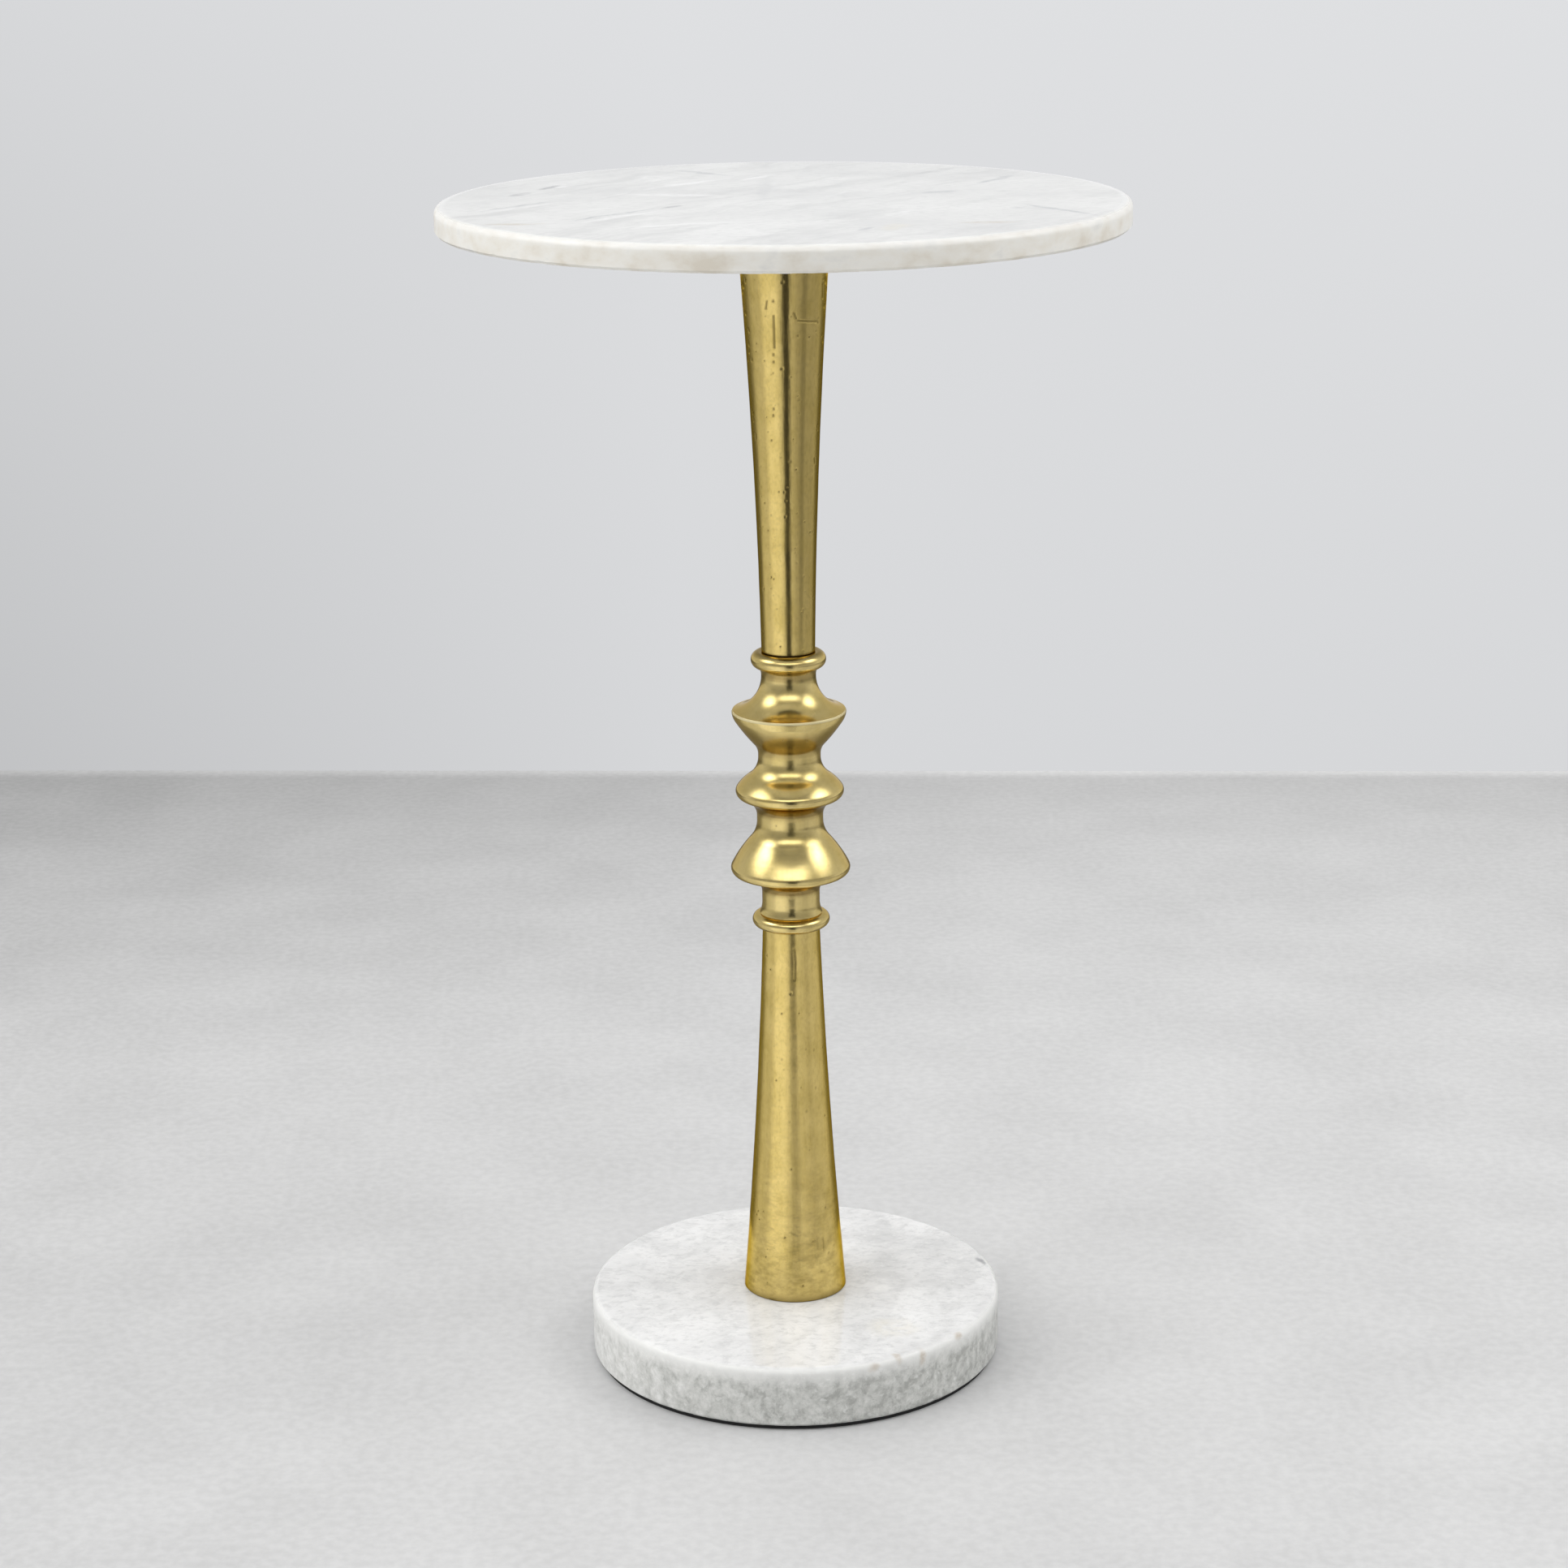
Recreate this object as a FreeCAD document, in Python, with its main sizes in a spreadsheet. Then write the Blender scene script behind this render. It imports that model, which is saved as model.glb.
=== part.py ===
import FreeCAD, Part
import Sketcher
import os

# Pedestal wine table: a round stone top and a heavy round stone foot, joined by a cast brass column.
# The column is three turnings stacked end to end: a lower shaft, a knop and an upper shaft.
# A steel tie rod runs through all three, from a plate bonded under the top to a nut under the foot.
# Millimetres, +Z up, origin on the floor under the middle of the table.

# Driving sizes
SIZES = {
    # Stone top and the steel plate bonded under it
    "top_diameter": 300.0,
    "top_thickness": 11.2,
    "top_upper_ease": 3.0,
    "top_lower_bevel": 1.2,
    "plate_diameter": 120.0,
    "plate_thickness": 4.0,
    "plate_chamfer": 0.8,
    "boss_height": 14.0,
    "boss_chamfer": 1.0,
    "boss_wall": 4.3,
    # Stone foot and its floor pad
    "base_diameter": 190.0,
    "base_thickness": 28.0,
    "base_upper_ease": 3.0,
    "base_lower_bevel": 1.2,
    "stone_clearance": 2.0,
    "spanner_clearance": 5.0,
    "pad_thickness": 2.0,
    "pad_inset": 2.0,
    "pad_margin": 3.0,
    # Tie rod and the fastening under the foot
    "rod_diameter": 8.0,
    "rod_chamfer": 0.8,
    "rod_tip_gap": 1.0,
    "rod_stickout": 2.0,
    "rod_clearance": 0.5,
    "thread_clearance": 0.1,
    "washer_diameter": 36.0,
    "washer_thickness": 2.5,
    "washer_clearance": 0.2,
    "spring_washer_diameter": 14.8,
    "spring_washer_thickness": 2.0,
    "spring_washer_gap": 1.2,
    "nut_across_flats": 13.0,
    "nut_height": 6.8,
    "nut_recess": 1.5,
    # Cast shafts
    "lower_height": 177.0,
    "lower_foot_radius": 23.75,
    "lower_middle_radius": 17.2,
    "lower_top_radius": 13.0,
    "upper_height": 185.0,
    "upper_bottom_radius": 12.0,
    "upper_middle_radius": 14.8,
    "upper_top_radius": 20.3,
    "shaft_wall": 3.0,
    "register_clearance": 0.15,
    "register_relief": 1.0,
    "foot_disc_thickness": 4.0,
    # Knop: spigots and seats
    "spigot_length": 12.0,
    "spigot_chamfer": 1.0,
    "lower_seat_step": 1.2,
    "upper_seat_step": 0.4,
    # Knop: radii of the necks and crests, from the bottom up
    "lower_bead_radius": 17.6,
    "lower_neck_radius": 13.1,
    "bell_radius": 27.05,
    "waist_radius": 15.0,
    "ring_radius": 24.45,
    "throat_radius": 14.1,
    "dish_radius": 25.85,
    "upper_neck_radius": 12.3,
    "upper_bead_radius": 16.9,
    # Knop: heights of its turned elements, from the bottom up
    "lower_bead_height": 5.9,
    "lower_groove_height": 0.5,
    "lower_flare_height": 5.6,
    "lower_neck_height": 4.0,
    "bell_undercove_height": 6.9,
    "bell_underside_height": 1.9,
    "bell_lip_height": 4.35,
    "bell_slope_height": 12.35,
    "bell_cove_height": 8.5,
    "waist_height": 2.0,
    "ring_undercove_height": 7.6,
    "ring_underside_height": 1.2,
    "ring_lip_height": 5.1,
    "ring_slope_height": 4.9,
    "ring_cove_height": 8.8,
    "throat_height": 1.2,
    "dish_undercove_height": 5.3,
    "dish_swell_height": 10.8,
    "dish_rim_height": 3.8,
    "dish_bevel_height": 0.8,
    "dish_cove_height": 15.5,
    "upper_neck_height": 0.6,
    "upper_flare_height": 3.4,
    "upper_bead_height": 7.3,
}

# An outline is a list of points. A bend is a point that an arc passes through between two corners.
CORNER = "corner"
BEND = "bend"

# Turned elements of the knop, from the bottom up: element, inner radius, outer radius, then points.
# Each point is a kind, its share of the way from the inner to the outer radius and of the height.
KNOP_SHARES = (
    ("lower_bead", "lower_neck", "lower_bead", ((BEND, 1.0, 0.49), (CORNER, 0.29, 1.0))),
    ("lower_groove", "lower_neck", "lower_bead", ((CORNER, 0.17, 0.4), (CORNER, 0.25, 1.0))),
    ("lower_flare", "lower_neck", "lower_bead", ((BEND, 0.06, 0.45), (CORNER, 0.0, 1.0))),
    ("lower_neck", "lower_neck", "bell", ((CORNER, 0.0, 1.0),)),
    ("bell_undercove", "lower_neck", "bell", ((BEND, 0.105, 0.625), (CORNER, 0.378, 1.0))),
    ("bell_underside", "lower_neck", "bell", ((CORNER, 0.854, 1.0),)),
    ("bell_lip", "waist", "bell", ((BEND, 1.0, 0.616), (CORNER, 0.971, 1.0))),
    ("bell_slope", "waist", "bell", ((BEND, 0.653, 0.522), (CORNER, 0.27, 1.0))),
    ("bell_cove", "waist", "bell", ((BEND, 0.07, 0.465), (CORNER, 0.0, 1.0))),
    ("waist", "waist", "ring", ((CORNER, 0.0, 1.0),)),
    ("ring_undercove", "waist", "ring", ((BEND, 0.145, 0.615), (CORNER, 0.533, 1.0))),
    ("ring_underside", "waist", "ring", ((CORNER, 0.804, 1.0),)),
    ("ring_lip", "throat", "ring", ((BEND, 1.0, 0.608), (CORNER, 0.933, 1.0))),
    ("ring_slope", "throat", "ring", ((BEND, 0.708, 0.542), (CORNER, 0.444, 1.0))),
    ("ring_cove", "throat", "ring", ((BEND, 0.118, 0.436), (CORNER, 0.0, 1.0))),
    ("throat", "throat", "dish", ((CORNER, 0.0, 1.0),)),
    ("dish_undercove", "throat", "dish", ((BEND, 0.0455, 0.536), (CORNER, 0.176, 1.0))),
    ("dish_swell", "throat", "dish", ((BEND, 0.552, 0.484), (CORNER, 0.889, 1.0))),
    ("dish_rim", "upper_neck", "dish", ((BEND, 0.9676, 0.479), (CORNER, 0.994, 1.0))),
    ("dish_bevel", "upper_neck", "dish", ((CORNER, 0.966, 1.0),)),
    ("dish_cove", "upper_neck", "dish", ((BEND, 0.338, 0.29), (CORNER, 0.0, 1.0))),
    ("upper_neck", "upper_neck", "upper_bead", ((CORNER, 0.0, 1.0),)),
    ("upper_flare", "upper_neck", "upper_bead", ((BEND, 0.061, 0.53), (CORNER, 0.239, 1.0))),
    ("upper_bead", "upper_neck", "upper_bead", ((BEND, 1.0, 0.49),)),
)
HALF_SHARE = 0.5

os.makedirs("parts", exist_ok=True)
doc = FreeCAD.newDocument("wine_table")
sheet = doc.addObject("Spreadsheet::Sheet", "sizes")
for row, (alias, number) in enumerate(SIZES.items(), start=1):
    sheet.set(f"A{row}", alias)
    sheet.set(f"B{row}", str(number))
    sheet.setAlias(f"B{row}", alias)
doc.recompute()


class Size:
    """A length that carries its sheet expression along with its present value."""

    def __init__(self, text, value):
        self.text = text
        self.value = value

    def __add__(self, other):
        return Size(f"({self.text} + {other.text})", self.value + other.value)

    def __sub__(self, other):
        return Size(f"({self.text} - {other.text})", self.value - other.value)

    def __mul__(self, share):
        return Size(f"({self.text} * {share})", self.value * share)


def size(alias):
    return Size(f"sizes.{alias}", float(sheet.get(alias)))


def between(inner, outer, share):
    return inner + (outer - inner) * share


def total(aliases):
    lengths = [size(alias) for alias in aliases]
    return sum(lengths[1:], lengths[0])


NOTHING = Size("0", 0.0)

# Levels of the stack above the floor
KNOP_HEIGHT = total([f"{element}_height" for element, *rest in KNOP_SHARES])
BASE_BOTTOM = size("pad_thickness")
BASE_TOP = BASE_BOTTOM + size("base_thickness")
LOWER_SEAT = BASE_TOP + size("lower_height")
UPPER_SEAT = LOWER_SEAT + KNOP_HEIGHT
COLUMN_TOP = UPPER_SEAT + size("upper_height")
TOP_BOTTOM = COLUMN_TOP + size("plate_thickness")

# Radii that pieces share where they fit together
ROD_RADIUS = size("rod_diameter") * HALF_SHARE
LOWER_FOOT_BORE = size("lower_foot_radius") - size("shaft_wall")
LOWER_TOP_BORE = size("lower_top_radius") - size("shaft_wall")
UPPER_BOTTOM_BORE = size("upper_bottom_radius") - size("shaft_wall")
UPPER_TOP_BORE = size("upper_top_radius") - size("boss_wall")
WASHER_RADIUS = size("washer_diameter") * HALF_SHARE
COUNTERBORE_RADIUS = WASHER_RADIUS + size("spanner_clearance")
FASTENING_HEIGHT = total(["washer_thickness", "spring_washer_thickness", "nut_height"])
COUNTERBORE_DEPTH = FASTENING_HEIGHT + size("rod_stickout") + size("nut_recess")
COUNTERBORE_TOP = BASE_BOTTOM + COUNTERBORE_DEPTH
ROD_BOTTOM = BASE_BOTTOM + size("nut_recess")


def new_body(label, level):
    """An empty body, named for its piece and lifted to its level above the floor."""
    body = doc.addObject("PartDesign::Body", label)
    body.Label = label
    body.setExpression("Placement.Base.z", level.text)
    return body


def origin_plane(body, role):
    return next(plane for plane in body.Origin.OriginFeatures if plane.Role == role)


def new_sketch(body, name, role):
    sketch = body.newObject("Sketcher::SketchObject", f"{body.Name}_{name}")
    sketch.AttachmentSupport = [(origin_plane(body, role), "")]
    sketch.MapMode = "FlatFace"
    return sketch


def pin_point(sketch, geometry, vertex, radius, height):
    """Hold a sketch point at its radius and height, both read from the sheet."""
    for direction, length, axis in (("DistanceX", radius, -2), ("DistanceY", height, -1)):
        if length.value == 0:
            sketch.addConstraint(Sketcher.Constraint("PointOnObject", geometry, vertex, axis))
            continue
        rule = Sketcher.Constraint(direction, -1, 1, geometry, vertex, length.value)
        index = sketch.addConstraint(rule)
        sketch.setExpression(f"Constraints[{index}]", length.text)


def sketch_point(point):
    return FreeCAD.Vector(point[1].value, point[2].value, 0)


def add_edge(sketch, first, bend, last):
    """One line, or an arc through its bend. Returns the edge and its two end vertices in order."""
    start, end = sketch_point(first), sketch_point(last)
    if bend is None:
        return sketch.addGeometry(Part.LineSegment(start, end), False), 1, 2
    edge = sketch.addGeometry(Part.Arc(start, sketch_point(bend), end), False)
    bend_mark = sketch.addGeometry(Part.Point(sketch_point(bend)), True)
    pin_point(sketch, bend_mark, 1, bend[1], bend[2])
    sketch.addConstraint(Sketcher.Constraint("PointOnObject", bend_mark, 1, edge))
    vertices = sorted((1, 2), key=lambda vertex: sketch.getPoint(edge, vertex).distanceToPoint(start))
    return edge, *vertices


def turned_body(label, level, outline):
    """A piece made on the lathe: a closed half outline turned about the table's axis."""
    body = new_body(label, level)
    sketch = new_sketch(body, "outline", "XZ_Plane")
    corners = [index for index, point in enumerate(outline) if point[0] == CORNER]
    edges = []
    for here, there in zip(corners, corners[1:] + corners[:1]):
        follower = outline[(here + 1) % len(outline)]
        bend = follower if follower[0] == BEND else None
        edges.append(add_edge(sketch, outline[here], bend, outline[there]))
    for number, corner in enumerate(corners):
        edge, start, end = edges[number]
        following, following_start = edges[(number + 1) % len(edges)][:2]
        sketch.addConstraint(Sketcher.Constraint("Coincident", edge, end, following, following_start))
        pin_point(sketch, edge, start, outline[corner][1], outline[corner][2])
    turning = body.newObject("PartDesign::Revolution", f"{label}_turning")
    turning.Profile = sketch
    turning.ReferenceAxis = (sketch, ["V_Axis"])
    turning.Angle = 360.0
    return body


def circle_sketch(body, name, radius):
    sketch = new_sketch(body, name, "XY_Plane")
    middle = FreeCAD.Vector(0, 0, 0)
    axis = FreeCAD.Vector(0, 0, 1)
    circle = sketch.addGeometry(Part.Circle(middle, axis, radius.value), False)
    sketch.addConstraint(Sketcher.Constraint("Coincident", circle, 3, -1, 1))
    index = sketch.addConstraint(Sketcher.Constraint("Radius", circle, radius.value))
    sketch.setExpression(f"Constraints[{index}]", radius.text)
    return sketch


def disc_body(label, level, radius, thickness):
    """A round slab, its underside on the level given."""
    body = new_body(label, level)
    slab = body.newObject("PartDesign::Pad", f"{label}_slab")
    slab.Profile = circle_sketch(body, "rim", radius)
    slab.setExpression("Length", thickness.text)
    return body


def bore_from_below(body, name, radius, depth):
    """A round hole sunk from the underside, checked by the volume that it takes away."""
    doc.recompute()
    volume_before = body.Shape.Volume
    hole = body.newObject("PartDesign::Pocket", f"{body.Name}_{name}")
    hole.Profile = circle_sketch(body, f"{name}_circle", radius)
    hole.setExpression("Length", depth.text)
    hole.Reversed = True
    doc.recompute()
    if not body.Shape.Volume < volume_before:
        raise ValueError(f"{body.Label}: {name} cuts nothing")


def outer_rim(body, upper):
    """Name of the outermost round edge, on the upper or on the lower face."""
    doc.recompute()
    rims = []
    for number, edge in enumerate(body.Shape.Edges, start=1):
        if isinstance(edge.Curve, Part.Circle):
            rims.append((edge.Curve.Center.z, edge.Curve.Radius, f"Edge{number}"))
    level = max(rim[0] for rim in rims) if upper else min(rim[0] for rim in rims)
    return max((rim for rim in rims if rim[0] == level), key=lambda rim: rim[1])[2]


# The length that drives each way of working a rim
RIM_LENGTHS = {"Fillet": "Radius", "Chamfer": "Size"}


def work_rim(body, upper, feature, length):
    """Round one rim of a disc with a fillet, as a stone's edge is polished, or bevel it with a chamfer."""
    edge = outer_rim(body, upper)
    worked = body.Tip
    place = "upper" if upper else "lower"
    easing = body.newObject(f"PartDesign::{feature}", f"{body.Name}_{place}_{feature.lower()}")
    easing.Base = (worked, [edge])
    easing.setExpression(RIM_LENGTHS[feature], length.text)
    doc.recompute()


def make_base_pad():
    radius = size("base_diameter") * HALF_SHARE - size("pad_inset")
    pad = disc_body("base_pad", NOTHING, radius, size("pad_thickness"))
    bore_from_below(pad, "access_hole", COUNTERBORE_RADIUS + size("pad_margin"), size("pad_thickness"))
    return pad


def make_marble_base():
    base = disc_body("marble_base", BASE_BOTTOM, size("base_diameter") * HALF_SHARE, size("base_thickness"))
    work_rim(base, True, "Fillet", size("base_upper_ease"))
    work_rim(base, False, "Chamfer", size("base_lower_bevel"))
    bore_from_below(base, "counterbore", COUNTERBORE_RADIUS, COUNTERBORE_DEPTH)
    bore_from_below(base, "rod_hole", ROD_RADIUS + size("stone_clearance"), size("base_thickness"))
    return base


def make_base_washer():
    level = COUNTERBORE_TOP - size("washer_thickness")
    washer = disc_body("base_washer", level, WASHER_RADIUS, size("washer_thickness"))
    bore_from_below(washer, "hole", ROD_RADIUS + size("washer_clearance"), size("washer_thickness"))
    return washer


def make_spring_washer():
    """A ring with the narrow gap that lets it act as a spring."""
    level = COUNTERBORE_TOP - size("washer_thickness") - size("spring_washer_thickness")
    radius = size("spring_washer_diameter") * HALF_SHARE
    ring = disc_body("spring_washer", level, radius, size("spring_washer_thickness"))
    bore_from_below(ring, "hole", ROD_RADIUS + size("washer_clearance"), size("spring_washer_thickness"))
    sketch = new_sketch(ring, "gap_outline", "XY_Plane")
    half_gap = size("spring_washer_gap") * HALF_SHARE
    corners = [(half_gap * -1.0, NOTHING), (half_gap, NOTHING), (half_gap, radius), (half_gap * -1.0, radius)]
    places = [FreeCAD.Vector(across.value, along.value, 0) for across, along in corners]
    lines = []
    for number, place in enumerate(places):
        lines.append(sketch.addGeometry(Part.LineSegment(place, places[(number + 1) % len(places)]), False))
    for number, line in enumerate(lines):
        following = lines[(number + 1) % len(lines)]
        sketch.addConstraint(Sketcher.Constraint("Coincident", line, 2, following, 1))
        pin_point(sketch, line, 1, corners[number][0], corners[number][1])
    gap = ring.newObject("PartDesign::Pocket", "spring_washer_gap")
    gap.Profile = sketch
    gap.setExpression("Length", size("spring_washer_thickness").text)
    gap.Reversed = True
    return ring


def make_base_nut():
    """A plain hexagon nut, run up the rod against the spring washer."""
    blank = doc.addObject("Part::Prism", "base_nut_blank")
    blank.Polygon = 6
    blank.setExpression("Circumradius", "sizes.nut_across_flats / sqrt(3)")
    blank.setExpression("Height", size("nut_height").text)
    thread = doc.addObject("Part::Cylinder", "base_nut_thread")
    thread.setExpression("Radius", (ROD_RADIUS + size("thread_clearance")).text)
    thread.setExpression("Height", size("nut_height").text)
    nut = doc.addObject("Part::Cut", "base_nut")
    nut.Base = blank
    nut.Tool = thread
    nut.Label = "base_nut"
    nut.setExpression("Placement.Base.z", (ROD_BOTTOM + size("rod_stickout")).text)
    return nut


def make_tie_rod():
    """Threaded rod, drawn to its outside diameter, with both tips chamfered."""
    length = COLUMN_TOP - size("rod_tip_gap") - ROD_BOTTOM
    chamfer = size("rod_chamfer")
    outline = [
        (CORNER, NOTHING, NOTHING),
        (CORNER, ROD_RADIUS - chamfer, NOTHING),
        (CORNER, ROD_RADIUS, chamfer),
        (CORNER, ROD_RADIUS, length - chamfer),
        (CORNER, ROD_RADIUS - chamfer, length),
        (CORNER, NOTHING, length),
    ]
    return turned_body("tie_rod", ROD_BOTTOM, outline)


def make_foot_disc():
    """Disc in the foot of the lower shaft that holds it central on the rod."""
    radius = LOWER_FOOT_BORE - size("register_clearance")
    disc = disc_body("foot_disc", BASE_TOP, radius, size("foot_disc_thickness"))
    bore_from_below(disc, "hole", ROD_RADIUS + size("rod_clearance"), size("foot_disc_thickness"))
    return disc


def shaft_outline(height, radii, bores, depths):
    """Hollow shaft: bottom, middle and top radius, then bore and register depth at bottom and top."""
    bottom, middle, top = radii
    half_height = height * HALF_SHARE
    return [
        (CORNER, bores[0], NOTHING),
        (CORNER, bottom, NOTHING),
        (BEND, middle, half_height),
        (CORNER, top, height),
        (CORNER, bores[1], height),
        (CORNER, bores[1], height - depths[1]),
        (BEND, middle - size("shaft_wall"), half_height),
        (CORNER, bores[0], depths[0]),
    ]


def make_lower_shaft():
    radii = [size(f"lower_{place}_radius") for place in ("foot", "middle", "top")]
    foot_depth = size("foot_disc_thickness") + size("register_relief")
    spigot_depth = size("spigot_length") + size("register_relief")
    bores = (LOWER_FOOT_BORE, LOWER_TOP_BORE)
    outline = shaft_outline(size("lower_height"), radii, bores, (foot_depth, spigot_depth))
    return turned_body("lower_shaft", BASE_TOP, outline)


def make_upper_shaft():
    radii = [size(f"upper_{place}_radius") for place in ("bottom", "middle", "top")]
    spigot_depth = size("spigot_length") + size("register_relief")
    boss_depth = size("boss_height") + size("register_relief")
    bores = (UPPER_BOTTOM_BORE, UPPER_TOP_BORE)
    outline = shaft_outline(size("upper_height"), radii, bores, (spigot_depth, boss_depth))
    return turned_body("upper_shaft", UPPER_SEAT, outline)


def make_centre_knop():
    """The turned centre: beads, bell, ring and dish between two spigots that enter the shafts."""
    hole = ROD_RADIUS + size("rod_clearance")
    chamfer = size("spigot_chamfer")
    lower_spigot = LOWER_TOP_BORE - size("register_clearance")
    upper_spigot = UPPER_BOTTOM_BORE - size("register_clearance")
    lower_face = size("spigot_length")
    upper_face = lower_face + KNOP_HEIGHT
    tip = upper_face + size("spigot_length")
    outline = [
        (CORNER, hole, NOTHING),
        (CORNER, lower_spigot - chamfer, NOTHING),
        (CORNER, lower_spigot, chamfer),
        (CORNER, lower_spigot, lower_face),
        (CORNER, size("lower_top_radius") + size("lower_seat_step"), lower_face),
    ]
    level = lower_face
    for element, inner, outer, points in KNOP_SHARES:
        height = size(f"{element}_height")
        for kind, radius_share, height_share in points:
            radius = between(size(f"{inner}_radius"), size(f"{outer}_radius"), radius_share)
            outline.append((kind, radius, level + height * height_share))
        level = level + height
    outline += [
        (CORNER, size("upper_bottom_radius") + size("upper_seat_step"), upper_face),
        (CORNER, upper_spigot, upper_face),
        (CORNER, upper_spigot, tip - chamfer),
        (CORNER, upper_spigot - chamfer, tip),
        (CORNER, hole, tip),
    ]
    return turned_body("centre_knop", LOWER_SEAT - size("spigot_length"), outline)


def make_top_boss():
    """Tapped boss welded under the plate: the rod screws into it and the upper shaft fits over it."""
    thread = ROD_RADIUS + size("thread_clearance")
    radius = UPPER_TOP_BORE - size("register_clearance")
    height = size("boss_height")
    chamfer = size("boss_chamfer")
    outline = [
        (CORNER, thread, NOTHING),
        (CORNER, radius - chamfer, NOTHING),
        (CORNER, radius, chamfer),
        (CORNER, radius, height),
        (CORNER, thread, height),
    ]
    return turned_body("top_boss", COLUMN_TOP - height, outline)


def make_top_plate():
    plate = disc_body("top_plate", COLUMN_TOP, size("plate_diameter") * HALF_SHARE, size("plate_thickness"))
    work_rim(plate, False, "Chamfer", size("plate_chamfer"))
    return plate


def make_marble_top():
    top = disc_body("marble_top", TOP_BOTTOM, size("top_diameter") * HALF_SHARE, size("top_thickness"))
    work_rim(top, True, "Fillet", size("top_upper_ease"))
    work_rim(top, False, "Chamfer", size("top_lower_bevel"))
    return top


pieces = [
    make_base_pad(),
    make_marble_base(),
    make_base_washer(),
    make_spring_washer(),
    make_base_nut(),
    make_tie_rod(),
    make_foot_disc(),
    make_lower_shaft(),
    make_centre_knop(),
    make_upper_shaft(),
    make_top_boss(),
    make_top_plate(),
    make_marble_top(),
]
doc.recompute()

for item in doc.Objects:
    if "Invalid" in item.State or "Error" in item.State:
        raise ValueError(f"{item.Label} did not rebuild: {item.State}")
for piece in pieces:
    if piece.Shape.isNull() or not piece.Shape.isValid() or len(piece.Shape.Solids) != 1:
        raise ValueError(f"{piece.Label} is not one sound solid")
for piece in pieces:
    piece.Shape.exportStep(f"parts/{piece.Label}.step")
    box = piece.Shape.optimalBoundingBox()
    print(f"{piece.Label}: {box.XLength:.2f} x {box.YLength:.2f} x {box.ZLength:.2f} mm from {box.ZMin:.2f}")
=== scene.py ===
# %% [markdown]
# # A wine table in brass and marble
# The table is a thin round marble top and a heavy round marble foot, joined by a hollow brass column.
# The solids were drawn and packed beforehand. They come in first, as a fixed frame in metres, and every
# piece below is made in that same frame, so nothing has to be fitted afterwards.

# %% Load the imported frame
import math
import random
import bpy
from mathutils import Matrix, Vector


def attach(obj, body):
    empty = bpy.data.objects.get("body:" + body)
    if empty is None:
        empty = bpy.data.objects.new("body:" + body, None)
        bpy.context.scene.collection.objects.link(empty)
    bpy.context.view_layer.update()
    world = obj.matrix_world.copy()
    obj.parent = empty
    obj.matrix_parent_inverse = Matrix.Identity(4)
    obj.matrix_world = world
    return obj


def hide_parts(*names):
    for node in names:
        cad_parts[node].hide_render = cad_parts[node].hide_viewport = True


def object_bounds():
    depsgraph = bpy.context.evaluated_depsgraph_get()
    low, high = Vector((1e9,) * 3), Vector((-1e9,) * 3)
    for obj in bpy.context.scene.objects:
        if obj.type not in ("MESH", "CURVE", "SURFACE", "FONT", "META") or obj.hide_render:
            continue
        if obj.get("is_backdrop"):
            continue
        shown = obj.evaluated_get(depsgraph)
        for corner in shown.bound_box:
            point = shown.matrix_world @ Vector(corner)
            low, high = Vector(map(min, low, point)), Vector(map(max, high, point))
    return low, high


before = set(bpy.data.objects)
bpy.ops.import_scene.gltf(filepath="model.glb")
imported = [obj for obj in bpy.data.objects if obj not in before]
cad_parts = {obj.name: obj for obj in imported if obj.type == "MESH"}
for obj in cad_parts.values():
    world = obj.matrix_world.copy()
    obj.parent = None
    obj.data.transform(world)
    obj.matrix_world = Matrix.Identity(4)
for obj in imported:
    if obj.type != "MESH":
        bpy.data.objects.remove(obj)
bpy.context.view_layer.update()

scene = bpy.context.scene
scene.view_settings.view_transform = "Standard"
print("Packed nodes:", ", ".join(sorted(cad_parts)))

# %% [markdown]
# ## The camera
# A camera can be placed by eye, or worked out from the photograph. The rims of the two slabs are circles of
# known size, and their ellipses in the picture leave only one place, tilt and lens that fit all of them.
# The picture is square, so one focal length in pixels gives the lens for a 36 mm sensor.

# %% Camera
PICTURE_SIDE = 1932
FOCAL_PIXELS = 4399.7
SENSOR_WIDTH = 36.0
CAMERA_PLACE = Vector((0.0, -1.547, 0.7205))
TILT_DOWN = math.radians(16.119)
PAN = math.radians(-0.096)
ROLL = math.radians(-0.671)

camera = bpy.data.objects.new("camera", bpy.data.cameras.new("camera"))
scene.collection.objects.link(camera)
camera.data.sensor_width = SENSOR_WIDTH
camera.data.lens = SENSOR_WIDTH * FOCAL_PIXELS / PICTURE_SIDE
forward = Vector((
    math.sin(PAN) * math.cos(TILT_DOWN),
    math.cos(PAN) * math.cos(TILT_DOWN),
    -math.sin(TILT_DOWN),
))
level_right = Vector((math.cos(PAN), -math.sin(PAN), 0.0))
level_up = level_right.cross(forward)
camera_right = math.cos(ROLL) * level_right + math.sin(ROLL) * level_up
camera_up = math.cos(ROLL) * level_up - math.sin(ROLL) * level_right
camera_axes = Matrix((camera_right, camera_up, -forward)).transposed()
camera.matrix_world = Matrix.Translation(CAMERA_PLACE) @ camera_axes.to_4x4()
scene.camera = camera
print(f"Lens {camera.data.lens:.1f} mm at {tuple(round(c, 3) for c in CAMERA_PLACE)}")

# %% [markdown]
# ## Helpers for nodes and colours
# Materials, Geometry Nodes and the world are all node trees, so one helper adds a node to any of them.
# Colours are written as the hex values that a paint chart would give, and turned to linear light once.

# %% Node helper and colour helper
MM = 0.001


def find_socket(sockets, key):
    """A socket by its number, or the first one in use with that name or identifier."""
    if isinstance(key, int):
        return sockets[key]
    return next(s for s in sockets if s.enabled and key in (s.name, s.identifier))


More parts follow.
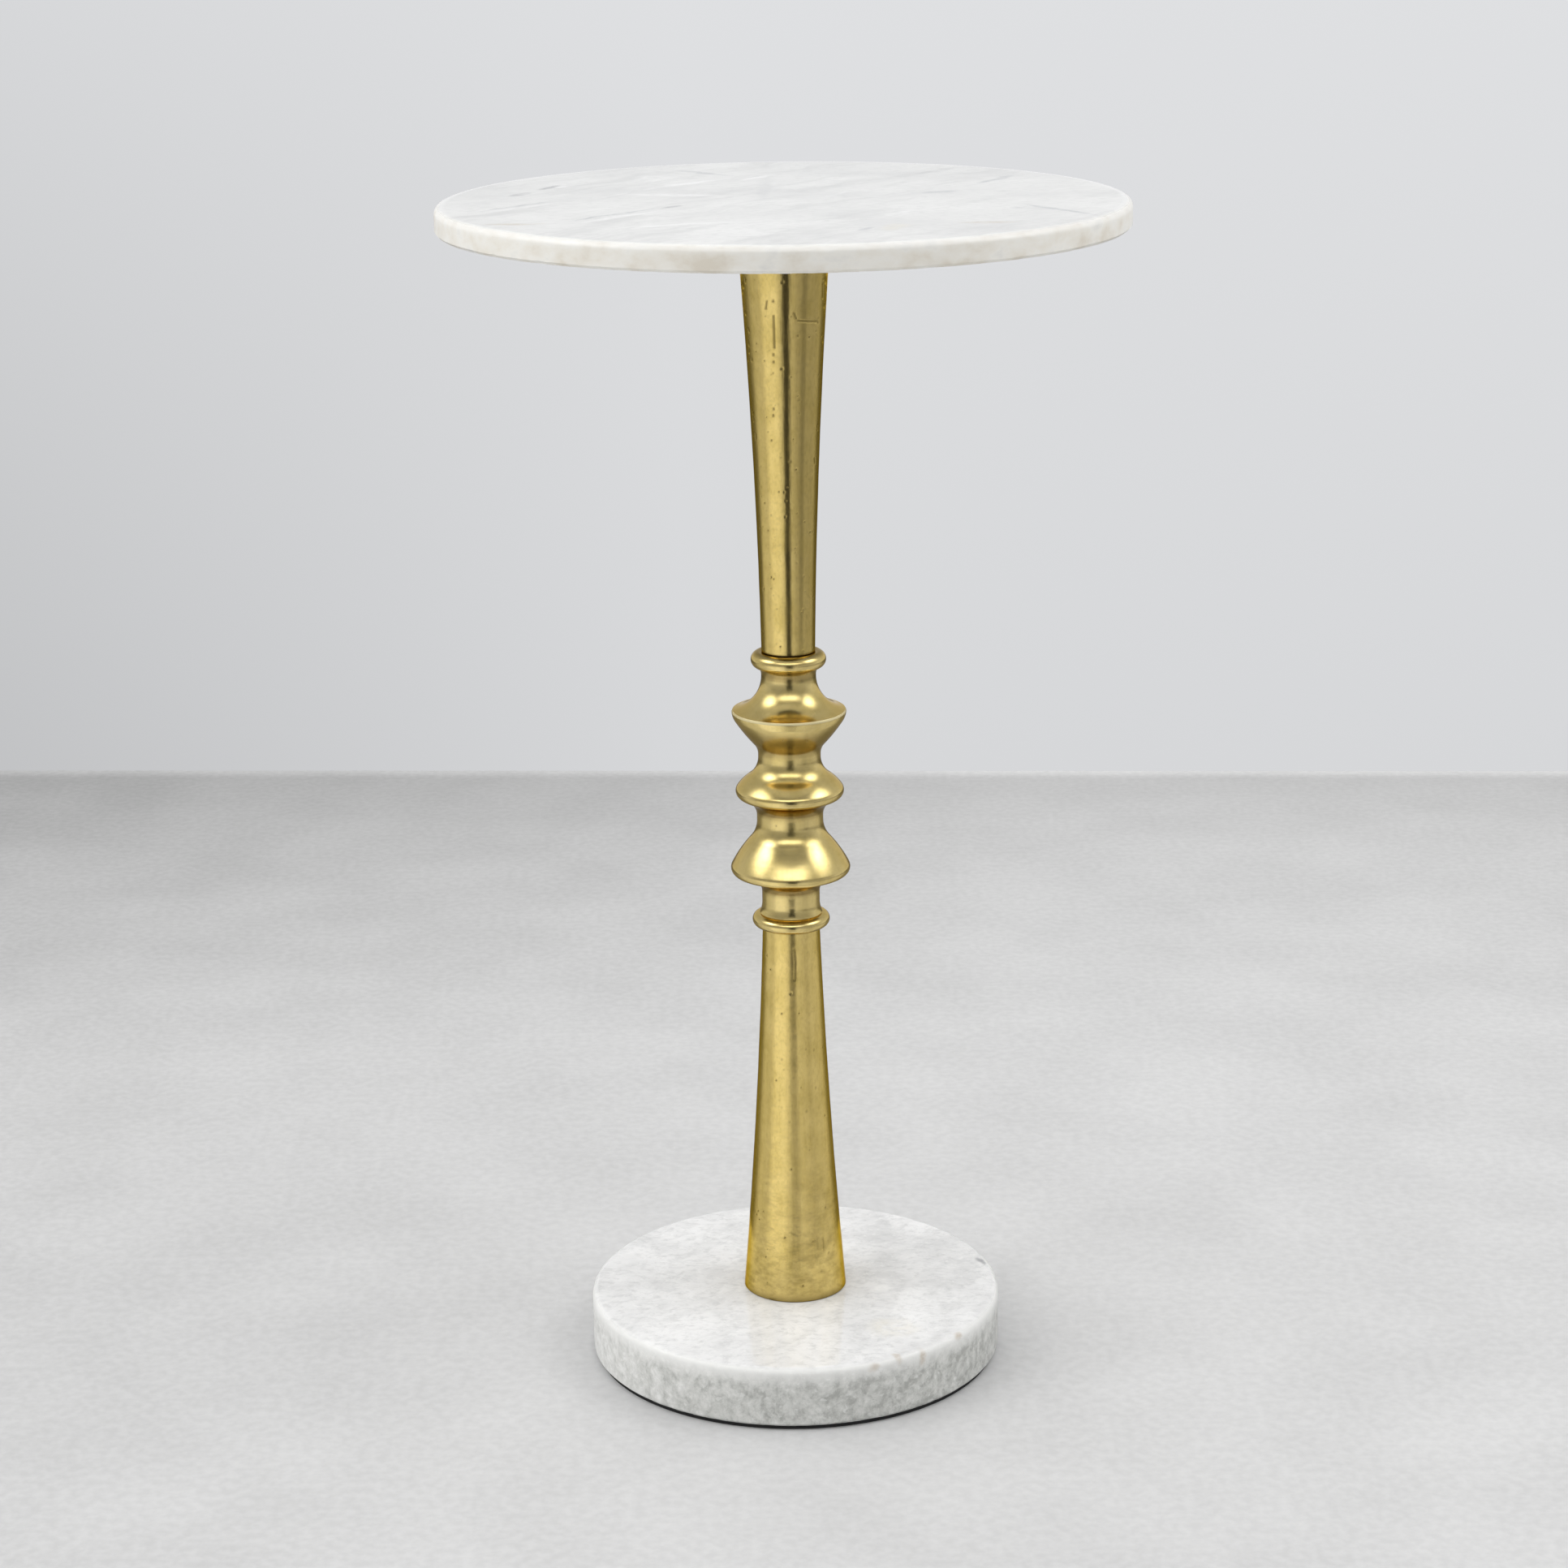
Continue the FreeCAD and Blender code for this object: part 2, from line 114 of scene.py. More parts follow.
def add(tree, kind, inputs=None, stops=None, **settings):
    """Add a node with its settings. Each input gets a value, a socket or another node's first output, and
    From and To each get a pair, for their Min and their Max."""
    made = tree.nodes.new(kind)
    for name, value in settings.items():
        setattr(made, name, value)
    if stops:
        ramp = made.color_ramp.elements
        while len(ramp) < len(stops):
            ramp.new(0.5)
        for stop, (place, tint) in zip(ramp, stops):
            stop.position = place
            stop.color = tint
    single = dict(inputs or {})
    for pair in ("From", "To"):
        if pair in single:
            single[pair + " Min"], single[pair + " Max"] = single.pop(pair)
    for key, value in single.items():
        socket = find_socket(made.inputs, key)
        if isinstance(value, bpy.types.Node):
            value = next(s for s in value.outputs if s.enabled)
        if isinstance(value, bpy.types.NodeSocket):
            tree.links.new(value, socket)
        else:
            socket.default_value = value
    return made


def colour(hex_text):
    """Linear RGBA of an sRGB hex colour."""
    shares = [int(hex_text[i:i + 2], 16) / 255 for i in (1, 3, 5)]
    linear = [s / 12.92 if s <= 0.04045 else ((s + 0.055) / 1.055) ** 2.4 for s in shares]
    return (*linear, 1.0)


def empty_material(name):
    """A material and its tree, with no nodes yet."""
    material = bpy.data.materials.new(name)
    material.use_nodes = True
    material.node_tree.nodes.clear()
    return material, material.node_tree


def new_material(name):
    """An empty material, its tree and the Object coordinates of the piece that wears it."""
    material, tree = empty_material(name)
    return material, tree, add(tree, "ShaderNodeTexCoord").outputs["Object"]


def end_material(tree, inputs):
    """Every material ends in one Principled shader on the output."""
    shader = add(tree, "ShaderNodeBsdfPrincipled", inputs)
    add(tree, "ShaderNodeOutputMaterial", {"Surface": shader})


def per_mm(length):
    """Texture scale at which one unit of a pattern is this many millimetres."""
    return 1.0 / (length * MM)


print(f"Half of full sRGB is {colour('#808080')[0]:.3f} in linear light")

# %% [markdown]
# ## The studio
# The photograph was taken on a pale floor in front of a pale wall, between large soft lamps.
# The floor is a real surface, so that it keeps the shadow of the foot. The wall is the world behind it:
# only what the camera and the polished surfaces see has its colour, so it adds no light to the object.

# %% Floor
FLOOR_BACK = 0.981
FLOOR_BACK_SLOPE = -0.0424
HORIZON_DEPTH = 0.022
HORIZON_LIGHT = 1.3
FLOOR_REACH = 12.0
# Size of the blots in mm, detail and strength: trowel clouds, and grit drawn as coarse as it needs to show.
FLOOR_MOTTLES = ((90, 6.0, 0.1), (5, 4.0, 0.12))
# Painted shade, in metres: the floor is painted darker to the left between two places, and more from behind
# the table to its edge.
DUSK_ACROSS = (0.2, -0.5)
DUSK_BEHIND = 0.3
DUSK_SHARES = (0.11, 0.41)
floor_corners = [(-FLOOR_REACH, -FLOOR_REACH, 0), (FLOOR_REACH, -FLOOR_REACH, 0)]
for side in (FLOOR_REACH, -FLOOR_REACH):
    floor_corners.append((side, FLOOR_BACK + side * FLOOR_BACK_SLOPE, 0))
floor_mesh = bpy.data.meshes.new("floor")
floor_mesh.from_pydata(floor_corners, [], [(0, 1, 2, 3)])
floor = bpy.data.objects.new("floor", floor_mesh)
scene.collection.objects.link(floor)
floor_paint, tree, place = new_material("pale_painted_floor")
spot = add(tree, "ShaderNodeSeparateXYZ", {"Vector": place})
depth = add(tree, "ShaderNodeMapRange", {"Value": spot.outputs["Y"], "From Max": FLOOR_BACK})
# Painted shade: the floor is painted a little darker towards the back.
depth_shaded_tint = add(tree, "ShaderNodeValToRGB", {"Fac": depth}, stops=[
    (0.0, colour("#D9D9D9")), (0.4, colour("#DADADA")), (0.8, colour("#D3D3D3")), (1.0, colour("#C8C8C8")),
])
left = add(tree, "ShaderNodeMapRange", {"Value": spot.outputs["X"], "From": DUSK_ACROSS})
far = add(tree, "ShaderNodeMapRange", {
    "Value": spot.outputs["Y"], "From": (DUSK_BEHIND, FLOOR_BACK), "To": DUSK_SHARES,
})
shade = add(tree, "ShaderNodeMath", {0: left, 1: far}, operation="MULTIPLY")
for size, detail, strength in FLOOR_MOTTLES:
    noise = add(tree, "ShaderNodeTexNoise", {"Vector": place, "Scale": per_mm(size), "Detail": detail})
    share = add(tree, "ShaderNodeMapRange", {"Value": noise, "From": (0.35, 0.65), "To Max": strength})
    shade = add(tree, "ShaderNodeMath", {0: shade, 1: share}, operation="ADD")
floor_tint = add(tree, "ShaderNodeMix", {
    "Factor": shade, "A": depth_shaded_tint, "B": colour("#8A8A8A"),
}, data_type="RGBA")
# Painted light: the far edge of the floor is painted lighter towards the wall, where it is out of focus.
back = add(tree, "ShaderNodeVectorMath", {0: place, 1: (-FLOOR_BACK_SLOPE, 1, 0)}, operation="DOT_PRODUCT")
lightened = add(tree, "ShaderNodeMapRange", {
    "Value": back.outputs["Value"], "From": (FLOOR_BACK - HORIZON_DEPTH, FLOOR_BACK),
    "To": (1.0, HORIZON_LIGHT),
}, interpolation_type="SMOOTHSTEP")
floor_tint = add(tree, "ShaderNodeVectorMath", {0: floor_tint, "Scale": lightened}, operation="SCALE")
end_material(tree, {"Base Color": floor_tint, "Roughness": 0.6, "Specular IOR Level": 0.1})
floor_mesh.materials.append(floor_paint)
floor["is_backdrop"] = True
print(f"Floor ends {FLOOR_BACK} m behind the table")

# %% World
WINDOW_SIDE = Vector((-0.4, 0.4, 0.82))
FILL_LIGHT = (0.4, 1.1)
# Spans of a direction of length 1, which points right by X, away from the camera by Y and up by Z.
WALL_SPAN = (-0.3, 1.0)
LOW_SPAN = (-0.06, -0.275)
LEFT_SPAN = (-0.03, -0.215)
FRONT_SPAN = (0.2, -0.4)
LEFT_DUSK = 0.79
FRONT_DUSK = 0.6
world = bpy.data.worlds.new("studio")
scene.world = world
world.use_nodes = True
tree = world.node_tree
tree.nodes.clear()
sky = add(tree, "ShaderNodeTexCoord").outputs["Generated"]
direction = add(tree, "ShaderNodeSeparateXYZ", {"Vector": sky})
height = add(tree, "ShaderNodeMapRange", {"Value": direction.outputs["Z"], "From": WALL_SPAN})
wall_tint = add(tree, "ShaderNodeValToRGB", {"Fac": height}, stops=[
    (0.0, colour("#D5D6D8")), (0.185, colour("#DFE0E2")),
    (0.5, colour("#C4C5C7")), (1.0, colour("#B0B1B3")),
])
low = add(tree, "ShaderNodeMapRange", {"Value": direction.outputs["Z"], "From": LOW_SPAN, "To Min": 0.4})
left = add(tree, "ShaderNodeMapRange", {"Value": direction.outputs["X"], "From": LEFT_SPAN})
dusk = add(tree, "ShaderNodeMath", {0: left, 1: low}, operation="MULTIPLY")
wall_light = add(tree, "ShaderNodeMapRange", {"Value": dusk, "To": (1.0, LEFT_DUSK)})
front = add(tree, "ShaderNodeMapRange", {
    "Value": direction.outputs["Y"], "From": FRONT_SPAN, "To": (1.0, FRONT_DUSK),
})
ray = add(tree, "ShaderNodeLightPath")
front = add(tree, "ShaderNodeMath", {0: front, 1: ray.outputs["Is Camera Ray"]}, operation="MAXIMUM")
wall_light = add(tree, "ShaderNodeMath", {0: wall_light, 1: front}, operation="MULTIPLY")
wall = add(tree, "ShaderNodeBackground", {"Color": wall_tint, "Strength": wall_light})
lean = add(tree, "ShaderNodeVectorMath", {0: sky, 1: WINDOW_SIDE}, operation="DOT_PRODUCT")
fill_light = add(tree, "ShaderNodeMapRange", {
    "Value": lean.outputs["Value"], "From Min": -1.0, "To": FILL_LIGHT,
})
fill = add(tree, "ShaderNodeBackground", {"Color": colour("#F6F6F6"), "Strength": fill_light})
seen = ray.outputs["Is Camera Ray"]
for kind in ("Is Glossy Ray", "Is Transmission Ray"):
    seen = add(tree, "ShaderNodeMath", {0: seen, 1: ray.outputs[kind]}, operation="MAXIMUM")
behind = add(tree, "ShaderNodeMixShader", {0: seen, 1: fill, 2: wall})
add(tree, "ShaderNodeOutputWorld", {"Surface": behind})
print(f"World of {len(tree.nodes)} nodes")

# %% Soft lamps
LAMP_AIM = Vector((0.0, 0.0, 0.3))
LAMPS = {
    # name: (place, width, height, watts)
    "softbox_left": ((-1.2, -0.4, 1.3), 1.3, 1.2, 7.4),
    "softbox_right": ((1.1, -0.1, 1.5), 1.0, 1.0, 6.6),
}
for name, (place, width, tall, power) in LAMPS.items():
    lamp = bpy.data.objects.new(name, bpy.data.lights.new(name, "AREA"))
    scene.collection.objects.link(lamp)
    lamp.data.shape = "RECTANGLE"
    lamp.data.size = width
    lamp.data.size_y = tall
    lamp.data.energy = power
    lamp.location = place
    lamp.rotation_mode = "QUATERNION"
    lamp.rotation_quaternion = (LAMP_AIM - lamp.location).to_track_quat("-Z", "Y")
    lamp.visible_camera = False
    lamp.visible_glossy = False
    print(f"{name}: {power} W over {width} by {tall} m")

# %% [markdown]
# ## Cards for the brass
# Polished metal shows little but what it mirrors, in its own tint. A photographer lays sheets of paper on
# the floor and stands soft lights round it, just out of the picture. The upright shafts mirror the floor,
# and the bulges of the knop mirror what stands higher. All of these are seen by mirror rays alone, so the
# marble and the floor are lit as if they weren't there. Azimuth 0 is towards the camera, and positive is to
# its right. The edges fade, because lamps and papers have no hard border in satin metal.

# %% Papers on the floor and lights around
PAPERS = {
    # name: (azimuth in degrees, half angle, share of the width that fades, brightness near and far,
    # metres from the column between which it changes)
    "bright_paper": (-44, 34, 0.6, (1.0, 0.95), (0.98, 1.14)),
    "right_paper": (70, 60, 0.5, (0.62, 0.36), (0.98, 1.14)),
    "right_strip": (56, 14, 0.9, (0.55, 0.2), (0.98, 1.14)),
    "left_back_paper": (-155, 50, 0.5, (0.27, 0.15), (0.98, 1.14)),
    "right_back_paper": (155, 50, 0.5, (0.27, 0.15), (0.98, 1.14)),
    "camera_paper": (3, 15, 0.6, (0.5, 0.03), (0.55, 0.82)),
}
PAPER_REACH = (0.12, 3.0)
PAPER_END_FADE = 0.02
PAPER_LEVEL = 0.001
STANDS = {
    # name: (azimuth in degrees, half angle, distance, bottom, top, share that fades, brightness)
    "left_light": (-80, 36, 1.3, 0.7, 2.3, 0.95, 4.4),
    "right_light": (84, 35, 1.3, 0.7, 2.3, 0.95, 4.0),
    "front_light": (0, 62, 1.8, 1.2, 2.25, 0.7, 2.5),
    "camera_stand": (3, 8.5, 1.2, 0.0, 0.56, 0.3, 0.03),
    "camera_box": (3, 15, 1.19, 0.2, 0.7, 0.4, 0.02),
}
CARD_STEPS = 12


def towards(azimuth):
    """Level direction from the column to an azimuth in degrees."""
    return Vector((math.sin(math.radians(azimuth)), -math.cos(math.radians(azimuth)), 0))


def arc(azimuth, half_angle, reach, level):
    """Points round the column at one distance and height."""
    bearings = [azimuth + half_angle * (2 * k / CARD_STEPS - 1) for k in range(CARD_STEPS + 1)]
    return [towards(bearing) * reach + Vector((0, 0, level)) for bearing in bearings]


def add_card(name, rows, fades, brightness, change):
    """A strip of faces between two rows of points that glows for mirror rays. Its edges fade by shares of
    its size across and along. Its brightness changes between two places, where -1 is the first row and 1
    the last."""
    count = len(rows[0])
    mesh = bpy.data.meshes.new(name)
    faces = [(k, k + 1, count + k + 1, count + k) for k in range(count - 1)]
    mesh.from_pydata([*rows[0], *rows[1]], [], faces)
    inset = mesh.attributes.new("inset", "FLOAT_VECTOR", "POINT")
    across = [2 * k / (count - 1) - 1 for k in range(count)]
    inset.data.foreach_set("vector", [c for up in (-1, 1) for side in across for c in (side, up, 0)])
    card = bpy.data.objects.new(name, mesh)
    scene.collection.objects.link(card)
    paint, tree = empty_material(name)
    place = add(tree, "ShaderNodeAttribute", attribute_name="inset").outputs["Vector"]
    apart = add(tree, "ShaderNodeVectorMath", {0: place}, operation="ABSOLUTE")
    sides = add(tree, "ShaderNodeSeparateXYZ", {"Vector": apart})
    solid = [
        add(tree, "ShaderNodeMapRange", {
            "Value": sides.outputs[axis], "From": (1.0, 1.0 - fade),
        }, interpolation_type="SMOOTHSTEP")
        for axis, fade in zip("XY", fades)
    ]
    along = add(tree, "ShaderNodeSeparateXYZ", {"Vector": place}).outputs["Y"]
    strength = add(tree, "ShaderNodeMapRange", {
        "Value": along, "From": change, "To": brightness,
    })
    share = add(tree, "ShaderNodeMath", {0: solid[0], 1: solid[1]}, operation="MULTIPLY")
    glow = add(tree, "ShaderNodeEmission", {"Strength": strength})
    clear = add(tree, "ShaderNodeBsdfTransparent")
    faded = add(tree, "ShaderNodeMixShader", {0: share, 1: clear, 2: glow})
    add(tree, "ShaderNodeOutputMaterial", {"Surface": faded})
    mesh.materials.append(paint)
    card.visible_camera = False
    card.visible_diffuse = False
    card.visible_shadow = False
    card.visible_transmission = False
    card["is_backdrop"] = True


for layer, (name, (azimuth, half_angle, fade, brightness, change)) in enumerate(PAPERS.items(), 1):
    rows = [arc(azimuth, half_angle, reach, PAPER_LEVEL * layer) for reach in PAPER_REACH]
    first, last = PAPER_REACH
    places = [2 * (reach - first) / (last - first) - 1 for reach in change]
    add_card(name, rows, (fade, PAPER_END_FADE), brightness, places)
for name, (azimuth, half_angle, distance, bottom, top, fade, brightness) in STANDS.items():
    rows = [arc(azimuth, half_angle, distance, level) for level in (bottom, top)]
    add_card(name, rows, (fade, fade), (brightness, brightness), (-1, 1))
print(f"{len(PAPERS)} papers on the floor, {len(STANDS)} stands round the column")

# %% [markdown]
# ## Turning on a lathe
# Nearly every piece of the table is round, and was turned or ground to an outline. Spin could make them,
# or a Screw modifier. Geometry Nodes keep the rule in sight: an outline is drawn once, as corners and the
# middle points of arcs, and the tree lays a grid whose columns are that outline, turned round the axis.
# Each point of the outline also knows how far it lies under an overhang, because tarnish stays there
# and the brass is painted darker there as painted shade.

# %% Outlines
CORNER = "corner"
BEND = "bend"
FINE = "fine"


def arc_points(first, middle, last, step):
    """Points along the arc through three points, first one left out."""
    (ax, az), (bx, bz), (cx, cz) = first, middle, last
    twice_area = 2 * (ax * (bz - cz) + bx * (cz - az) + cx * (az - bz))
    a2, b2, c2 = ax * ax + az * az, bx * bx + bz * bz, cx * cx + cz * cz
    centre_x = (a2 * (bz - cz) + b2 * (cz - az) + c2 * (az - bz)) / twice_area
    centre_z = (a2 * (cx - bx) + b2 * (ax - cx) + c2 * (bx - ax)) / twice_area
    radius = math.hypot(ax - centre_x, az - centre_z)
    start = math.atan2(az - centre_z, ax - centre_x)
    through = (math.atan2(bz - centre_z, bx - centre_x) - start) % math.tau
    sweep = (math.atan2(cz - centre_z, cx - centre_x) - start) % math.tau
    if through > sweep:
        sweep -= math.tau
    count = max(2, math.ceil(abs(sweep) * radius / step))
    angles = [start + sweep * k / count for k in range(1, count + 1)]
    return [(centre_x + radius * math.cos(a), centre_z + radius * math.sin(a)) for a in angles]


def walk_outline(outline, step):
    """All points of an outline in millimetres: arcs and fine spans in steps, other spans straight."""
    points = [outline[0][1:]]
    bend = None
    for kind, radius, height in outline[1:]:
        if kind == BEND:
            bend = (radius, height)
            continue
        if bend:
            points += arc_points(points[-1], bend, (radius, height), step)
            bend = None
            continue
        last = points[-1]
        count = max(1, math.ceil(math.dist(last, (radius, height)) / step)) if kind == FINE else 1
        for k in range(1, count + 1):
            points.append(tuple(a + (b - a) * k / count for a, b in zip(last, (radius, height))))
    return points


OVERHANG_REACH = 5.0
OVERHANG_START = 1.5
OVERHANG_FULL = 5.0


def hollows(points):
    """How far each point lies under an overhang: 0 in the open, 1 deep under a lip."""
    shares = []
    for radius, height in points:
        lip = max(r for r, z in points if height <= z <= height + OVERHANG_REACH)
        share = (lip - radius - OVERHANG_START) / (OVERHANG_FULL - OVERHANG_START)
        shares.append(min(1.0, max(0.0, share)))
    return shares


print(f"A lip shades what lies up to {OVERHANG_REACH} mm under it")

# %% The lathe tree
FLOAT = "NodeSocketFloat"
WHOLE = "NodeSocketInt"
MATERIAL = "NodeSocketMaterial"
OBJECT = "NodeSocketObject"


def new_tree(name, inputs):
    """A Geometry Nodes tree with named inputs, and the sockets that give them."""
    tree = bpy.data.node_groups.new(name, "GeometryNodeTree")
    tree.interface.new_socket("Geometry", in_out="INPUT", socket_type="NodeSocketGeometry")
    for label, kind in {**inputs, "Material": MATERIAL}.items():
        tree.interface.new_socket(label, in_out="INPUT", socket_type=kind)
    tree.interface.new_socket("Geometry", in_out="OUTPUT", socket_type="NodeSocketGeometry")
    return tree, add(tree, "NodeGroupInput").outputs


def tree_inputs(tree):
    """The sockets that a tree offers for values."""
    return [socket for socket in tree.interface.items_tree if socket.in_out == "INPUT"]


def end_tree(tree, geometry, material):
    """Every tree ends with real geometry that has its material."""
    real = add(tree, "GeometryNodeRealizeInstances", {"Geometry": geometry})
    painted = add(tree, "GeometryNodeSetMaterial", {"Geometry": real, "Material": material})
    add(tree, "NodeGroupOutput", {"Geometry": painted})


def lathe_tree():
    """Rows follow the outline and columns go round the axis; equal points are welded."""
    tree, given = new_tree("turn_on_lathe", {"Facets": WHOLE, "Weld": FLOAT, "Crease": FLOAT})
    outline = given["Geometry"]
    rows = add(tree, "GeometryNodeAttributeDomainSize", {"Geometry": outline}, component="MESH")
    rows = rows.outputs["Point Count"]
    columns = add(tree, "FunctionNodeIntegerMath", {0: given["Facets"], 1: 1}, operation="ADD")
    grid = add(tree, "GeometryNodeMeshGrid", {"Vertices X": columns, "Vertices Y": rows})
    index = add(tree, "GeometryNodeInputIndex")
    row = add(tree, "FunctionNodeIntegerMath", {0: index, 1: rows}, operation="MODULO")
    column = add(tree, "FunctionNodeIntegerMath", {0: index, 1: rows}, operation="DIVIDE_FLOOR")
    step = add(tree, "ShaderNodeMath", {0: math.tau, 1: given["Facets"]}, operation="DIVIDE")
    angle = add(tree, "ShaderNodeMath", {0: column, 1: step}, operation="MULTIPLY")
    point = add(tree, "GeometryNodeSampleIndex", {
        "Geometry": outline, "Value": add(tree, "GeometryNodeInputPosition"), "Index": row,
    }, data_type="FLOAT_VECTOR", domain="POINT")
    turned = add(tree, "ShaderNodeVectorRotate", {"Vector": point, "Angle": angle}, rotation_type="Z_AXIS")
    share = add(tree, "GeometryNodeInputNamedAttribute", {"Name": "hollow"}, data_type="FLOAT")
    hollow = add(tree, "GeometryNodeSampleIndex", {
        "Geometry": outline, "Value": share, "Index": row,
    }, data_type="FLOAT", domain="POINT")
    shaded = add(tree, "GeometryNodeStoreNamedAttribute", {
        "Geometry": grid.outputs["Mesh"], "Name": "hollow", "Value": hollow,
    }, data_type="FLOAT", domain="POINT")
    placed = add(tree, "GeometryNodeSetPosition", {"Geometry": shaded, "Position": turned})
    welded = add(tree, "GeometryNodeMergeByDistance", {"Geometry": placed, "Distance": given["Weld"]})
    smooth = add(tree, "GeometryNodeSetShadeSmooth", {
        "Geometry": welded, "Shade Smooth": True,
    }, domain="FACE")
    bend = add(tree, "GeometryNodeInputMeshEdgeAngle").outputs["Unsigned Angle"]
    soft = add(tree, "FunctionNodeCompare", {
        "A": bend, "B": given["Crease"],
    }, data_type="FLOAT", operation="LESS_THAN")
    creased = add(tree, "GeometryNodeSetShadeSmooth", {
        "Geometry": smooth, "Shade Smooth": soft,
    }, domain="EDGE")
    end_tree(tree, creased, given["Material"])
    return tree


LATHE = lathe_tree()
print("Lathe tree inputs:", ", ".join(socket.name for socket in tree_inputs(LATHE)))


# %% Running the trees
def apply_tree(piece, tree, **values):
    """Add a tree to a piece, setting each input by its identifier."""
    modifier = piece.modifiers.new(tree.name, "NODES")
    modifier.node_group = tree
    for label, value in values.items():
        wanted = label.replace("_", " ").lower()
        socket = next(s for s in tree_inputs(tree) if s.name.lower() == wanted)
        modifier[socket.identifier] = value


def freeze(piece):
    """Turn the evaluated modifiers into a plain mesh."""
    evaluated = piece.evaluated_get(bpy.context.evaluated_depsgraph_get())
    mesh = bpy.data.meshes.new_from_object(evaluated)
    mesh.name = piece.name
    piece.modifiers.clear()
    piece.data = mesh
    mesh.calc_loop_triangles()
    volume = sum(
        mesh.vertices[a].co.dot(mesh.vertices[b].co.cross(mesh.vertices[c].co)) / 6
        for a, b, c in (t.vertices for t in mesh.loop_triangles)
    )
    print(f"{piece.name}: {len(mesh.loop_triangles)} triangles, {volume * 1e6:.1f} cm3")


LATHE_WELD = 0.0005 * MM
LATHE_CREASE = math.radians(32)


def turn(name, points, facets, material):
    """A piece with its outline as a line of points and the lathe tree on it."""
    mesh = bpy.data.meshes.new(name)
    line = [(radius * MM, 0, height * MM) for radius, height in points]
    mesh.from_pydata(line, [(k, k + 1) for k in range(len(line) - 1)], [])
    mesh.attributes.new("hollow", "FLOAT", "POINT").data.foreach_set("value", hollows(points))
    piece = bpy.data.objects.new(name, mesh)
    scene.collection.objects.link(piece)
    apply_tree(piece, LATHE, facets=facets, weld=LATHE_WELD, crease=LATHE_CREASE, material=material)
    return piece


def hand_over(piece, node):
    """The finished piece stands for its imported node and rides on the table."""
    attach(piece, "root")
    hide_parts(node)


print(f"Turned pieces are creased past {math.degrees(LATHE_CREASE):.0f} degrees")
